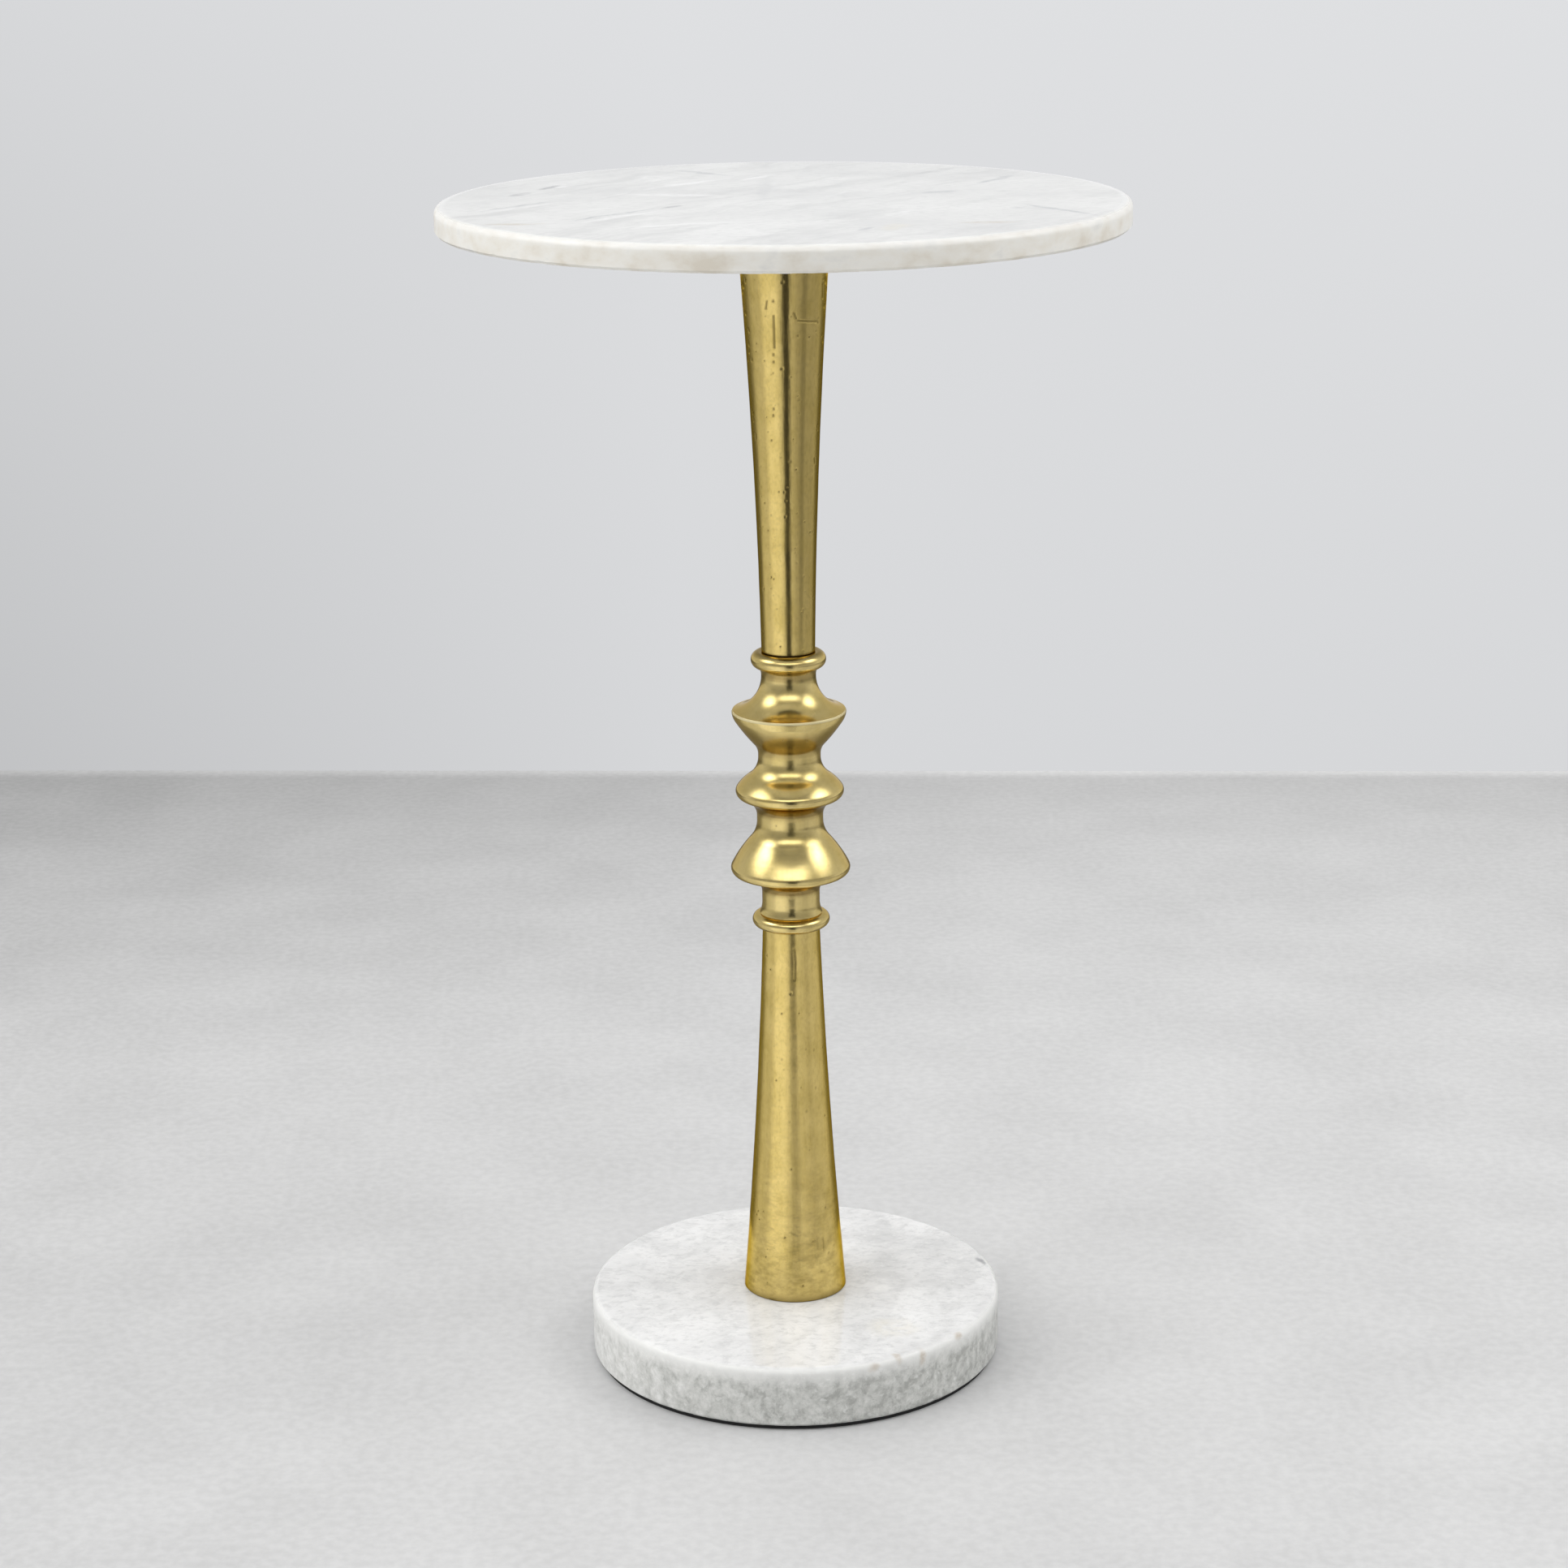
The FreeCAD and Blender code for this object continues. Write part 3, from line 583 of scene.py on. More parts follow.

# %% [markdown]
# ## The skin of a casting
# Sand-cast brass is filed and buffed by hand. That leaves slow swells, which make the reflections waver,
# small pits where gas was caught, and a few scratches. The two seams of the mould leave scars on the sides.
# Bump could fake them, but a pit that is a real hollow also shows at the edge and in the mesh itself. The
# tree scatters pits by a fixed seed, measures how far each point is from the nearest one and from the lines
# of an object that draws the scratches and scars, and sinks it there. What is sunk is kept as an attribute,
# so that the material can darken it.

# %% The skin tree
def skin_tree():
    """Swells, scattered pits and drawn flaws on any mesh."""
    tree, given = new_tree("cast_skin", {
        "Swell Length": FLOAT, "Swell Height": FLOAT, "Pit Density": FLOAT, "Pit Radius": FLOAT,
        "Flaws": OBJECT, "Flaw Width": FLOAT, "Flaw Share": FLOAT, "Dent Depth": FLOAT, "Seed": WHOLE,
    })
    here = add(tree, "GeometryNodeInputPosition")
    scale = add(tree, "ShaderNodeMath", {0: 1.0, 1: given["Swell Length"]}, operation="DIVIDE")
    waves = add(tree, "ShaderNodeTexNoise", {"Vector": here, "Scale": scale, "Detail": 2.0})
    rise = add(tree, "ShaderNodeMath", {0: waves, 1: 0.5}, operation="SUBTRACT")
    swell = add(tree, "ShaderNodeMath", {0: rise, 1: given["Swell Height"]}, operation="MULTIPLY")
    scattered = add(tree, "GeometryNodeDistributePointsOnFaces", {
        "Mesh": given["Geometry"], "Density": given["Pit Density"], "Seed": given["Seed"],
    })
    size = add(tree, "FunctionNodeRandomValue", {
        "Min": 0.35, "Max": 1.0, "Seed": given["Seed"],
    }, data_type="FLOAT")
    pits = add(tree, "GeometryNodeStoreNamedAttribute", {
        "Geometry": scattered.outputs["Points"], "Name": "size", "Value": size,
    }, data_type="FLOAT", domain="POINT")
    nearest = add(tree, "GeometryNodeSampleNearest", {"Geometry": pits}, domain="POINT")
    centre = add(tree, "GeometryNodeSampleIndex", {
        "Geometry": pits, "Value": here, "Index": nearest,
    }, data_type="FLOAT_VECTOR", domain="POINT")
    pit_size = add(tree, "GeometryNodeInputNamedAttribute", {"Name": "size"}, data_type="FLOAT")
    share = add(tree, "GeometryNodeSampleIndex", {
        "Geometry": pits, "Value": pit_size, "Index": nearest,
    }, data_type="FLOAT", domain="POINT")
    away = add(tree, "ShaderNodeVectorMath", {0: here, 1: centre}, operation="DISTANCE")
    reach = add(tree, "ShaderNodeMath", {0: share, 1: given["Pit Radius"]}, operation="MULTIPLY")
    pit = add(tree, "ShaderNodeMapRange", {
        "Value": away, "From Max": reach, "To": (share, 0.0),
    }, interpolation_type="SMOOTHSTEP")
    lines = add(tree, "GeometryNodeObjectInfo", {"Object": given["Flaws"]})
    near = add(tree, "GeometryNodeProximity", {0: lines.outputs["Geometry"]}, target_element="EDGES")
    flaw = add(tree, "ShaderNodeMapRange", {
        "Value": near.outputs["Distance"], "From Max": given["Flaw Width"],
        "To": (given["Flaw Share"], 0.0),
    }, interpolation_type="SMOOTHSTEP")
    dent = add(tree, "ShaderNodeMath", {0: pit, 1: flaw}, operation="MAXIMUM")
    marked = add(tree, "GeometryNodeStoreNamedAttribute", {
        "Geometry": given["Geometry"], "Name": "dent", "Value": dent,
    }, data_type="FLOAT", domain="POINT")
    sunk = add(tree, "ShaderNodeMath", {0: dent, 1: given["Dent Depth"]}, operation="MULTIPLY")
    amount = add(tree, "ShaderNodeMath", {0: swell, 1: sunk}, operation="SUBTRACT")
    offset = add(tree, "ShaderNodeVectorMath", {
        0: add(tree, "GeometryNodeInputNormal"), "Scale": amount,
    }, operation="SCALE")
    moved = add(tree, "GeometryNodeSetPosition", {"Geometry": marked, "Offset": offset})
    end_tree(tree, moved, given["Material"])
    return tree


SKIN = skin_tree()
DOT_LENGTH = 0.4
FLAW_TURN = 6.0


def outer_radius(points, height):
    """Radius of the outside of an outline at a height."""
    found = []
    for (r0, z0), (r1, z1) in zip(points, points[1:]):
        if z0 != z1 and min(z0, z1) <= height <= max(z0, z1):
            found.append(r0 + (r1 - r0) * (height - z0) / (z1 - z0))
    return max(found)


def between(ends):
    """Stations along a line of degrees and heights, close enough to follow a round surface."""
    stations = [ends[0]]
    for start, end in zip(ends, ends[1:]):
        count = max(1, math.ceil(abs(end[0] - start[0]) / FLAW_TURN))
        for k in range(1, count + 1):
            stations.append(tuple(a + (b - a) * k / count for a, b in zip(start, end)))
    return stations


def flaw_lines(name, points, marks):
    """Lines on a turned surface, from degrees round (0 is the front, positive to the right) and heights."""
    corners = []
    edges = []
    for mark in marks:
        ends = mark if len(mark) > 1 else (*mark, (mark[0][0], mark[0][1] - DOT_LENGTH))
        stations = between(ends)
        edges += [(len(corners) + k, len(corners) + k + 1) for k in range(len(stations) - 1)]
        for degrees, height in stations:
            radius = outer_radius(points, height) * MM
            angle = math.radians(degrees)
            corners.append((radius * math.sin(angle), -radius * math.cos(angle), height * MM))
    mesh = bpy.data.meshes.new(name)
    mesh.from_pydata(corners, edges, [])
    guide = bpy.data.objects.new(name, mesh)
    scene.collection.objects.link(guide)
    return guide


print("Skin tree inputs:", ", ".join(socket.name for socket in tree_inputs(SKIN)))


# %% [markdown]
# ## Brass
# The shafts are sand-cast brass, filed and buffed to a satin gloss. The knop between them was turned,
# polished and lacquered. Metal keeps its colour in the reflection, so the base colour is what a white card
# looks like in it, and the roughness says how sharply. Tarnish lies in faint clouds and gathers in dents.
# In the joints, under overhangs and where the foot meets the stone, the brass is darkened as tarnish and
# grime and as painted shade. The foot, which gets wiped with the floor, has brown blotches. The bevel on
# the rim of the dish is painted pale as a painted highlight.

# %% Cast and turned brass
BROWN_BRASS = colour("#69582E")
# Under overhangs the brass is darkened as tarnish and as painted shade.
HOLLOW_TARNISH_AND_SHADE = colour("#785A18")
DARK_DENT = colour("#453715")
# A painted highlight: the bevel on the rim of the dish is painted pale.
DISH_RIM_HIGHLIGHT = colour("#F7E9B8")
# Seen along its surface, brass keeps some of its colour.
LIMB_BRASS = colour("#E2C97F")
BASE_TOP = 30.0
LOWER_SEAT = 207.0
UPPER_SEAT = 335.3
# The joints are darkened as grime and as painted contact shade.
JOINT_REACH = 1.5
JOINT_SHARE = 0.85
# Heights in mm: blotches start at the first and are full at the second, and grime and painted contact
# shade rise from the foot.
WIPED_TOP = 130.0
WIPED_FULL = 40.0
WIPED_SHARE = 0.45
FOOT_GRIME_AND_SHADE = 4.0
FOOT_SHARE = 0.7
HOLLOW_SHARE = 0.75
EXTRA_ROUGHNESS = 0.3
DISH_RIM = (25.1, 25.4)
DISH_RIM_LEVEL = (307.3, 307.7)


def stretched_noise(tree, place, sizes, **inputs):
    """Noise whose blots measure these sizes in millimetres along x, y and z."""
    inside = add(tree, "ShaderNodeMapping", {
        "Vector": place, "Scale": [length * MM for length in sizes],
    }, vector_type="TEXTURE")
    named = {label.replace("_", " ").capitalize(): value for label, value in inputs.items()}
    return add(tree, "ShaderNodeTexNoise", {"Vector": inside, "Scale": 1.0, **named})


def rim_share(tree, place, start, end):
    """0 near the axis, 1 at the rim, between two distances from the axis in mm."""
    flat = add(tree, "ShaderNodeVectorMath", {0: place, 1: (1, 1, 0)}, operation="MULTIPLY")
    spread = add(tree, "ShaderNodeVectorMath", {0: flat}, operation="LENGTH")
    return add(tree, "ShaderNodeMapRange", {"Value": spread, "From": (start * MM, end * MM)})


def brass(name, clean, dull, gloss, streak, grain_height, speckle, lacquer):
    """Brass: streak is the spacing of the polishing marks in millimetres, across and along the column.
    Real marks are finer, and these are as coarse as they need to be to show."""
    material, tree, place = new_material(name)
    clouds = stretched_noise(tree, place, (9, 9, 13), detail=6.0, roughness=0.62)
    tarnish = add(tree, "ShaderNodeMapRange", {"Value": clouds, "From": (0.38, 0.66)})
    across, along = streak
    marks = stretched_noise(tree, place, (across, across, along), detail=3.0)
    buffed = add(tree, "ShaderNodeMapRange", {"Value": marks, "From": (0.35, 0.65), "To": (0.55, 1.0)})
    tarnish = add(tree, "ShaderNodeMath", {0: tarnish, 1: buffed}, operation="MULTIPLY")
    level = add(tree, "ShaderNodeSeparateXYZ", {"Vector": place}).outputs["Z"]
    blotch = stretched_noise(tree, place, (6, 6, 3), detail=6.0, roughness=0.66)
    blotched = add(tree, "ShaderNodeMapRange", {"Value": blotch, "From": (0.42, 0.68)})
    wiped = add(tree, "ShaderNodeMapRange", {
        "Value": level, "From": (WIPED_TOP * MM, WIPED_FULL * MM), "To Max": WIPED_SHARE,
    })
    pores = stretched_noise(tree, place, (1.4, 1.4, 2.2), detail=4.0, roughness=0.6)
    # The foot and the joints are darkened as grime and as painted contact shade; the pores are real.
    stains_and_shade = [
        add(tree, "ShaderNodeMapRange", {
            "Value": level, "From": ((BASE_TOP + FOOT_GRIME_AND_SHADE) * MM, BASE_TOP * MM), "To Max": FOOT_SHARE,
        }),
        add(tree, "ShaderNodeMapRange", {"Value": pores, "From": (0.48, 0.72), "To Max": speckle}),
    ]
    for joint in (LOWER_SEAT, UPPER_SEAT):
        apart = add(tree, "ShaderNodeMath", {0: level, 1: joint * MM}, operation="SUBTRACT")
        apart = add(tree, "ShaderNodeMath", {0: apart}, operation="ABSOLUTE")
        stains_and_shade.append(add(tree, "ShaderNodeMapRange", {
            "Value": apart, "From Max": JOINT_REACH * MM, "To": (JOINT_SHARE, 0.0),
        }))
    brown = add(tree, "ShaderNodeMath", {0: blotched, 1: wiped}, operation="MULTIPLY")
    for stain in stains_and_shade:
        brown = add(tree, "ShaderNodeMath", {0: brown, 1: stain}, operation="MAXIMUM")
    # Under overhangs: tarnish and painted shade.
    hollow = add(tree, "ShaderNodeAttribute", attribute_name="hollow").outputs["Fac"]
    tarnish_and_shade = add(tree, "ShaderNodeMath", {0: hollow, 1: HOLLOW_SHARE}, operation="MULTIPLY")
    dent = add(tree, "ShaderNodeAttribute", attribute_name="dent").outputs["Fac"]
    # The bevel on the rim of the dish is painted pale, as a painted highlight, and made rougher.
    painted_edge = add(tree, "ShaderNodeMapRange", {"Value": level, "From": [c * MM for c in DISH_RIM_LEVEL]})
    rim_highlight_share = add(tree, "ShaderNodeMath", {
        0: painted_edge, 1: rim_share(tree, place, *DISH_RIM),
    }, operation="MULTIPLY")
    metal = colour(clean)
    for share, tint in (
        (tarnish, colour(dull)), (tarnish_and_shade, HOLLOW_TARNISH_AND_SHADE), (brown, BROWN_BRASS), (dent, DARK_DENT),
        (rim_highlight_share, DISH_RIM_HIGHLIGHT),
    ):
        metal = add(tree, "ShaderNodeMix", {"Factor": share, "A": metal, "B": tint}, data_type="RGBA")
    polish = add(tree, "ShaderNodeMapRange", {
        "Value": clouds, "From": (0.3, 0.7), "To": (gloss - 0.03, gloss + 0.04),
    })
    roughened = add(tree, "ShaderNodeMath", {0: dent, 1: rim_highlight_share}, operation="MAXIMUM")
    rough = add(tree, "ShaderNodeMath", {0: roughened, 1: EXTRA_ROUGHNESS, 2: polish}, operation="MULTIPLY_ADD")
    grain = add(tree, "ShaderNodeTexNoise", {"Vector": place, "Scale": per_mm(4), "Detail": 4.0})
    relief = add(tree, "ShaderNodeMath", {0: grain, 1: marks}, operation="ADD")
    bump = add(tree, "ShaderNodeBump", {"Height": relief, "Distance": grain_height * MM})
    end_material(tree, {
        "Base Color": metal, "Metallic": 1.0, "Roughness": rough, "Normal": bump,
        "Coat Weight": lacquer, "Coat Roughness": 0.12, "Specular Tint": LIMB_BRASS,
    })
    return material


# Buffed by hand along the shaft: soft reflections that waver, with faint upright streaks.
CAST_BRASS = brass(
    "satin_cast_brass", clean="#EBD184", dull="#D7BE70", gloss=0.18, streak=(1.6, 22),
    grain_height=0.038, speckle=0.17, lacquer=0.0,
)
# Turned, polished and lacquered: paler highlights, and the fine rings that the tool leaves.
TURNED_BRASS = brass(
    "polished_turned_brass", clean="#E9D28B", dull="#D8C177", gloss=0.21, streak=(9, 1.2),
    grain_height=0.008, speckle=0.08, lacquer=0.6,
)
print("Brass finishes:", CAST_BRASS.name, "and", TURNED_BRASS.name)

# %% [markdown]
# ## The shafts
# Each shaft is a long hollow casting whose side is one shallow arc: wide at the foot, wide again under the
# top. The upper casting has the most flaws, near its thick end, where the brass set last.

# %% Shaft outlines
COLUMN_TOP = 520.3
SHAFT_WALL = 3.0
BRASS_STEP = 0.5
SHAFT_FACETS = 200
END_EASE = 0.4


def shaft_outline(bottom, top, radii, depths, wall_top):
    """Closed outline of a hollow shaft, from its lower inner edge round the outside and back. The radii are
    those of its foot, middle and head, and the depths those of its straight bores at foot and head."""
    low, middle, high = radii
    half = (bottom + top) / 2
    bore_low, bore_high = low - SHAFT_WALL, high - wall_top
    return walk_outline([
        (CORNER, bore_low, bottom),
        (CORNER, low - END_EASE, bottom),
        (CORNER, low, bottom + END_EASE),
        (BEND, middle, half),
        (CORNER, high, top - END_EASE),
        (CORNER, high - END_EASE, top),
        (CORNER, bore_high, top),
        (CORNER, bore_high, top - depths[1]),
        (CORNER, middle - SHAFT_WALL, half),
        (CORNER, bore_low, bottom + depths[0]),
        (CORNER, bore_low, bottom),
    ], BRASS_STEP)


lower_outline = shaft_outline(
    BASE_TOP, LOWER_SEAT, radii=(23.75, 17.2, 13.0), depths=(5.0, 13.0), wall_top=SHAFT_WALL,
)
upper_outline = shaft_outline(
    UPPER_SEAT, COLUMN_TOP, radii=(12.0, 14.8, 20.3), depths=(13.0, 15.0), wall_top=4.3,
)
print(f"Shaft outlines: {len(lower_outline)} and {len(upper_outline)} points")

# %% Casting the shafts
# Each flaw is a line of places, as degrees round the shaft and a height in mm. One place alone is a dot.
LOWER_FLAWS = (
    ((4, 199.1), (6, 192.0), (5, 184.8)), ((-19, 146.9),), ((39, 150.4),), ((39, 132.1),), ((21, 121.8),),
    ((22, 58.7), (29, 59.0), (29, 55.1)), ((37, 59.5), (38, 53.5)), ((-4, 63.8), (4, 62.2)), ((-34, 38.3),),
    ((33, 44.1),), ((-30, 30.8), (-24, 30.8)),
)
UPPER_FLAWS = (
    ((-15, 487.9), (-15, 474.1)), ((-17, 471.2),), ((-17, 468.0),), ((-26, 491.0), (-24, 494.2)),
    ((-15, 494.6),), ((19, 485.6), (51, 484.3)), ((54, 483.8),), ((19, 479.2),), ((69, 477.5),),
    ((-19, 447.3),), ((-20, 444.4),),
    ((62, 500.0), (64, 494.0)), ((16, 486.5), (13, 489.0)),
)
SEAM_SPREAD = (58, 122)
SCAR_COUNT = 90
SCAR_LENGTHS = (0.4, 2.2)
SCAR_LEVELS = (415, 517)


def seam_scars(seed):
    """Short upright scars along both sides of the upper shaft, thickest towards its thick end."""
    dice = random.Random(seed)
    low, high = SCAR_LEVELS
    scars = []
    for k in range(SCAR_COUNT):
        turned = dice.uniform(*SEAM_SPREAD) * (-1) ** k
        height = high - (high - low) * dice.random() ** 1.5
        end = (turned + dice.uniform(-2, 2), height - dice.uniform(*SCAR_LENGTHS))
        scars.append(((turned, height), end))
    return tuple(scars)


def give_skin(piece, node, slot, points, marks, **values):
    """Run the skin tree on a turned piece with these flaws, and hand the piece over."""
    guide = flaw_lines(node + "_flaws", points, marks)
    apply_tree(piece, SKIN, flaws=guide, **values)
    freeze(piece)
    bpy.data.objects.remove(guide)
    hand_over(piece, node)


lower_shaft = turn("lower_shaft_casting", lower_outline, SHAFT_FACETS, CAST_BRASS)
upper_shaft = turn("upper_shaft_casting", upper_outline, SHAFT_FACETS, CAST_BRASS)
for shaft, node, points, marks, flaw_share, pits, seed in (
    (lower_shaft, "lower_shaft", lower_outline, LOWER_FLAWS, 0.35, 5000.0, 11),
    (upper_shaft, "upper_shaft", upper_outline, UPPER_FLAWS + seam_scars(3), 0.7, 14000.0, 23),
):
    give_skin(
        shaft, node, "cast_brass", points, marks, swell_length=20 * MM, swell_height=0.24 * MM,
        pit_density=pits, pit_radius=0.8 * MM, flaw_width=0.8 * MM, flaw_share=flaw_share,
        dent_depth=0.2 * MM, seed=seed, material=CAST_BRASS,
    )

# %% [markdown]
# ## The knop
# The centre of the column was turned from solid: bead, neck, bell, waist, ring, throat, dish, neck and
# bead. A turner reads such a profile from the foot up as heights and widths, and so does this list. The rim
# of the dish has a narrow bevel, which shows as one bright line, and which is also painted pale as a
# painted highlight.

# %% Knop outline
KNOP_ELEMENTS = (
    # height, inner radius, outer radius, then points: kind, share of the radius and share of the height
    (5.9, 13.1, 17.6, ((BEND, 1.0, 0.49), (CORNER, 0.29, 1.0))),
    (0.5, 13.1, 17.6, ((CORNER, 0.17, 0.4), (CORNER, 0.25, 1.0))),
    (5.6, 13.1, 17.6, ((BEND, 0.06, 0.45), (CORNER, 0.0, 1.0))),
    (4.0, 13.1, 27.05, ((FINE, 0.0, 1.0),)),
    (6.9, 13.1, 27.05, ((BEND, 0.105, 0.625), (CORNER, 0.378, 1.0))),
    (1.9, 13.1, 27.05, ((FINE, 0.854, 1.0),)),
    (4.35, 15.0, 27.05, ((BEND, 1.0, 0.616), (CORNER, 0.971, 1.0))),
    (12.35, 15.0, 27.05, ((BEND, 0.653, 0.522), (CORNER, 0.27, 1.0))),
    (8.5, 15.0, 27.05, ((BEND, 0.07, 0.465), (CORNER, 0.0, 1.0))),
    (2.0, 15.0, 24.45, ((FINE, 0.0, 1.0),)),
    (7.6, 15.0, 24.45, ((BEND, 0.145, 0.615), (CORNER, 0.533, 1.0))),
    (1.2, 15.0, 24.45, ((FINE, 0.804, 1.0),)),
    (5.1, 14.1, 24.45, ((BEND, 1.0, 0.608), (CORNER, 0.933, 1.0))),
    (4.9, 14.1, 24.45, ((BEND, 0.708, 0.542), (CORNER, 0.444, 1.0))),
    (8.8, 14.1, 24.45, ((BEND, 0.118, 0.436), (CORNER, 0.0, 1.0))),
    (1.2, 14.1, 25.85, ((FINE, 0.0, 1.0),)),
    (5.3, 14.1, 25.85, ((BEND, 0.0455, 0.536), (CORNER, 0.176, 1.0))),
    (10.8, 14.1, 25.85, ((BEND, 0.552, 0.484), (CORNER, 0.889, 1.0))),
    (3.8, 12.3, 25.85, ((BEND, 0.9676, 0.479), (CORNER, 0.994, 1.0))),
    (0.8, 12.3, 25.85, ((CORNER, 0.966, 1.0),)),
    (15.5, 12.3, 25.85, ((BEND, 0.338, 0.29), (CORNER, 0.0, 1.0))),
    (0.6, 12.3, 16.9, ((FINE, 0.0, 1.0),)),
    (3.4, 12.3, 16.9, ((BEND, 0.061, 0.53), (CORNER, 0.239, 1.0))),
    (7.3, 12.3, 16.9, ((BEND, 1.0, 0.49),)),
)
LOWER_SEAT_RADIUS = 14.2
UPPER_SEAT_RADIUS = 12.4
SPIGOT_LENGTH = 12.0
SPIGOT_CHAMFER = 1.0
LOWER_SPIGOT = 9.85
UPPER_SPIGOT = 8.85
ROD_HOLE = 4.5
KNOP_FACETS = 192

knop_outline = [
    (CORNER, ROD_HOLE, LOWER_SEAT - SPIGOT_LENGTH),
    (CORNER, LOWER_SPIGOT - SPIGOT_CHAMFER, LOWER_SEAT - SPIGOT_LENGTH),
    (CORNER, LOWER_SPIGOT, LOWER_SEAT - SPIGOT_LENGTH + SPIGOT_CHAMFER),
    (CORNER, LOWER_SPIGOT, LOWER_SEAT),
    (CORNER, LOWER_SEAT_RADIUS, LOWER_SEAT),
]
level = LOWER_SEAT
for height, inner, outer, points in KNOP_ELEMENTS:
    for kind, radius_share, height_share in points:
        knop_outline.append((kind, inner + (outer - inner) * radius_share, level + height * height_share))
    level += height
knop_outline += [
    (CORNER, UPPER_SEAT_RADIUS, UPPER_SEAT),
    (CORNER, UPPER_SPIGOT, UPPER_SEAT),
    (CORNER, UPPER_SPIGOT, UPPER_SEAT + SPIGOT_LENGTH - SPIGOT_CHAMFER),
    (CORNER, UPPER_SPIGOT - SPIGOT_CHAMFER, UPPER_SEAT + SPIGOT_LENGTH),
    (CORNER, ROD_HOLE, UPPER_SEAT + SPIGOT_LENGTH),
    (CORNER, ROD_HOLE, LOWER_SEAT - SPIGOT_LENGTH),
]
knop_points = walk_outline(knop_outline, BRASS_STEP)
print(f"Knop outline: {len(knop_points)} points, ends at {level:.1f} mm")

# %% Turning the knop
KNOP_FLAWS = (
    ((31, 231.5),), ((-8, 300.0),), ((22, 299.0),), ((40, 327.5),), ((-25, 258.0),), ((140, 240.0),),
)
knop = turn("centre_knop_turning", knop_points, KNOP_FACETS, TURNED_BRASS)
give_skin(
    knop, "centre_knop", "turned_brass", knop_points, KNOP_FLAWS, swell_length=12 * MM,
    swell_height=0.1 * MM, pit_density=900.0, pit_radius=0.6 * MM, flaw_width=0.55 * MM, flaw_share=0.5,
    dent_depth=0.1 * MM, seed=5, material=TURNED_BRASS,
)

# %% [markdown]
# ## Marble
# Both slabs were sawn from blocks, turned round and polished. Marble is never one pattern: it has beds
# that run one way, clouds, crystals that catch the light, and single veins. Noise gives all but the veins.
# Those are laid one by one as long soft ellipsoids through the stone, in coordinates bent by a slow noise,
# so that none of them is straight. The rims were only honed, so they are rougher. That of the top is
# creamier than its face, and that of the foot is greyer.

# %% Laying veins and patches
BED_DIRECTION = math.radians(52)
GREY_VEIN = colour("#A9ACB1")
DARK_VEIN = colour("#7E8084")
WHITE_VEIN = colour("#FDFDFC")
WARM_VEIN = colour("#CDBFA6")
CREAM_PATCH = colour("#EDE6D2")
OCHRE_PATCH = colour("#B39E80")


def bend_coordinates(tree, place, wavelength, reach):
    """Coordinates that wander by about a fifth of reach, so that nothing laid in them is straight."""
    wander = add(tree, "ShaderNodeTexNoise", {"Vector": place, "Scale": per_mm(wavelength), "Detail": 4.0})
    shift = add(tree, "ShaderNodeVectorMath", {
        0: wander.outputs["Color"], 1: (0.5, 0.5, 0.5),
    }, operation="SUBTRACT")
    return add(tree, "ShaderNodeVectorMath", {
        0: shift, 1: (reach * MM,) * 3, 2: place,
    }, operation="MULTIPLY_ADD")


def lay_marks(tree, stone, coordinates, marks):
    """Mix each mark into the stone: middle, direction in degrees, half sizes in mm, strength and colour.
    One noise breaks them all up."""
    gaps = add(tree, "ShaderNodeTexNoise", {
        "Vector": coordinates, "Scale": per_mm(9), "Detail": 5.0, "Roughness": 0.65,
    })
    kept = add(tree, "ShaderNodeMapRange", {"Value": gaps, "From": (0.36, 0.56), "To Min": 0.2})
    for middle, degrees, half_sizes, strength, tint in marks:
        inside = add(tree, "ShaderNodeMapping", {
            "Vector": coordinates, "Location": [c * MM for c in middle],
            "Rotation": (0, 0, math.radians(degrees)), "Scale": [s * MM for s in half_sizes],
        }, vector_type="TEXTURE")
        away = add(tree, "ShaderNodeVectorMath", {0: inside}, operation="LENGTH")
        share = add(tree, "ShaderNodeMapRange", {
            "Value": away, "From": (0.3, 1.0), "To": (strength, 0.0),
        }, interpolation_type="SMOOTHSTEP")
        share = add(tree, "ShaderNodeMath", {0: share, 1: kept}, operation="MULTIPLY")
        stone = add(tree, "ShaderNodeMix", {"Factor": share, "A": stone, "B": tint}, data_type="RGBA")
    return stone


def beds(tree, coordinates, sizes, low, high, strength):
    """Share of a streaky noise whose streaks follow the beds, with sizes in mm along and across them."""
    along = add(tree, "ShaderNodeMapping", {
        "Vector": coordinates, "Rotation": (0, 0, BED_DIRECTION), "Scale": [s * MM for s in sizes],
    }, vector_type="TEXTURE")
    streaks = add(tree, "ShaderNodeTexNoise", {
        "Vector": along, "Scale": 1.0, "Detail": 6.0, "Roughness": 0.6,
    })
    return add(tree, "ShaderNodeMapRange", {"Value": streaks, "From": (low, high), "To Max": strength})


print(f"The beds run at {math.degrees(BED_DIRECTION):.0f} degrees to the front")

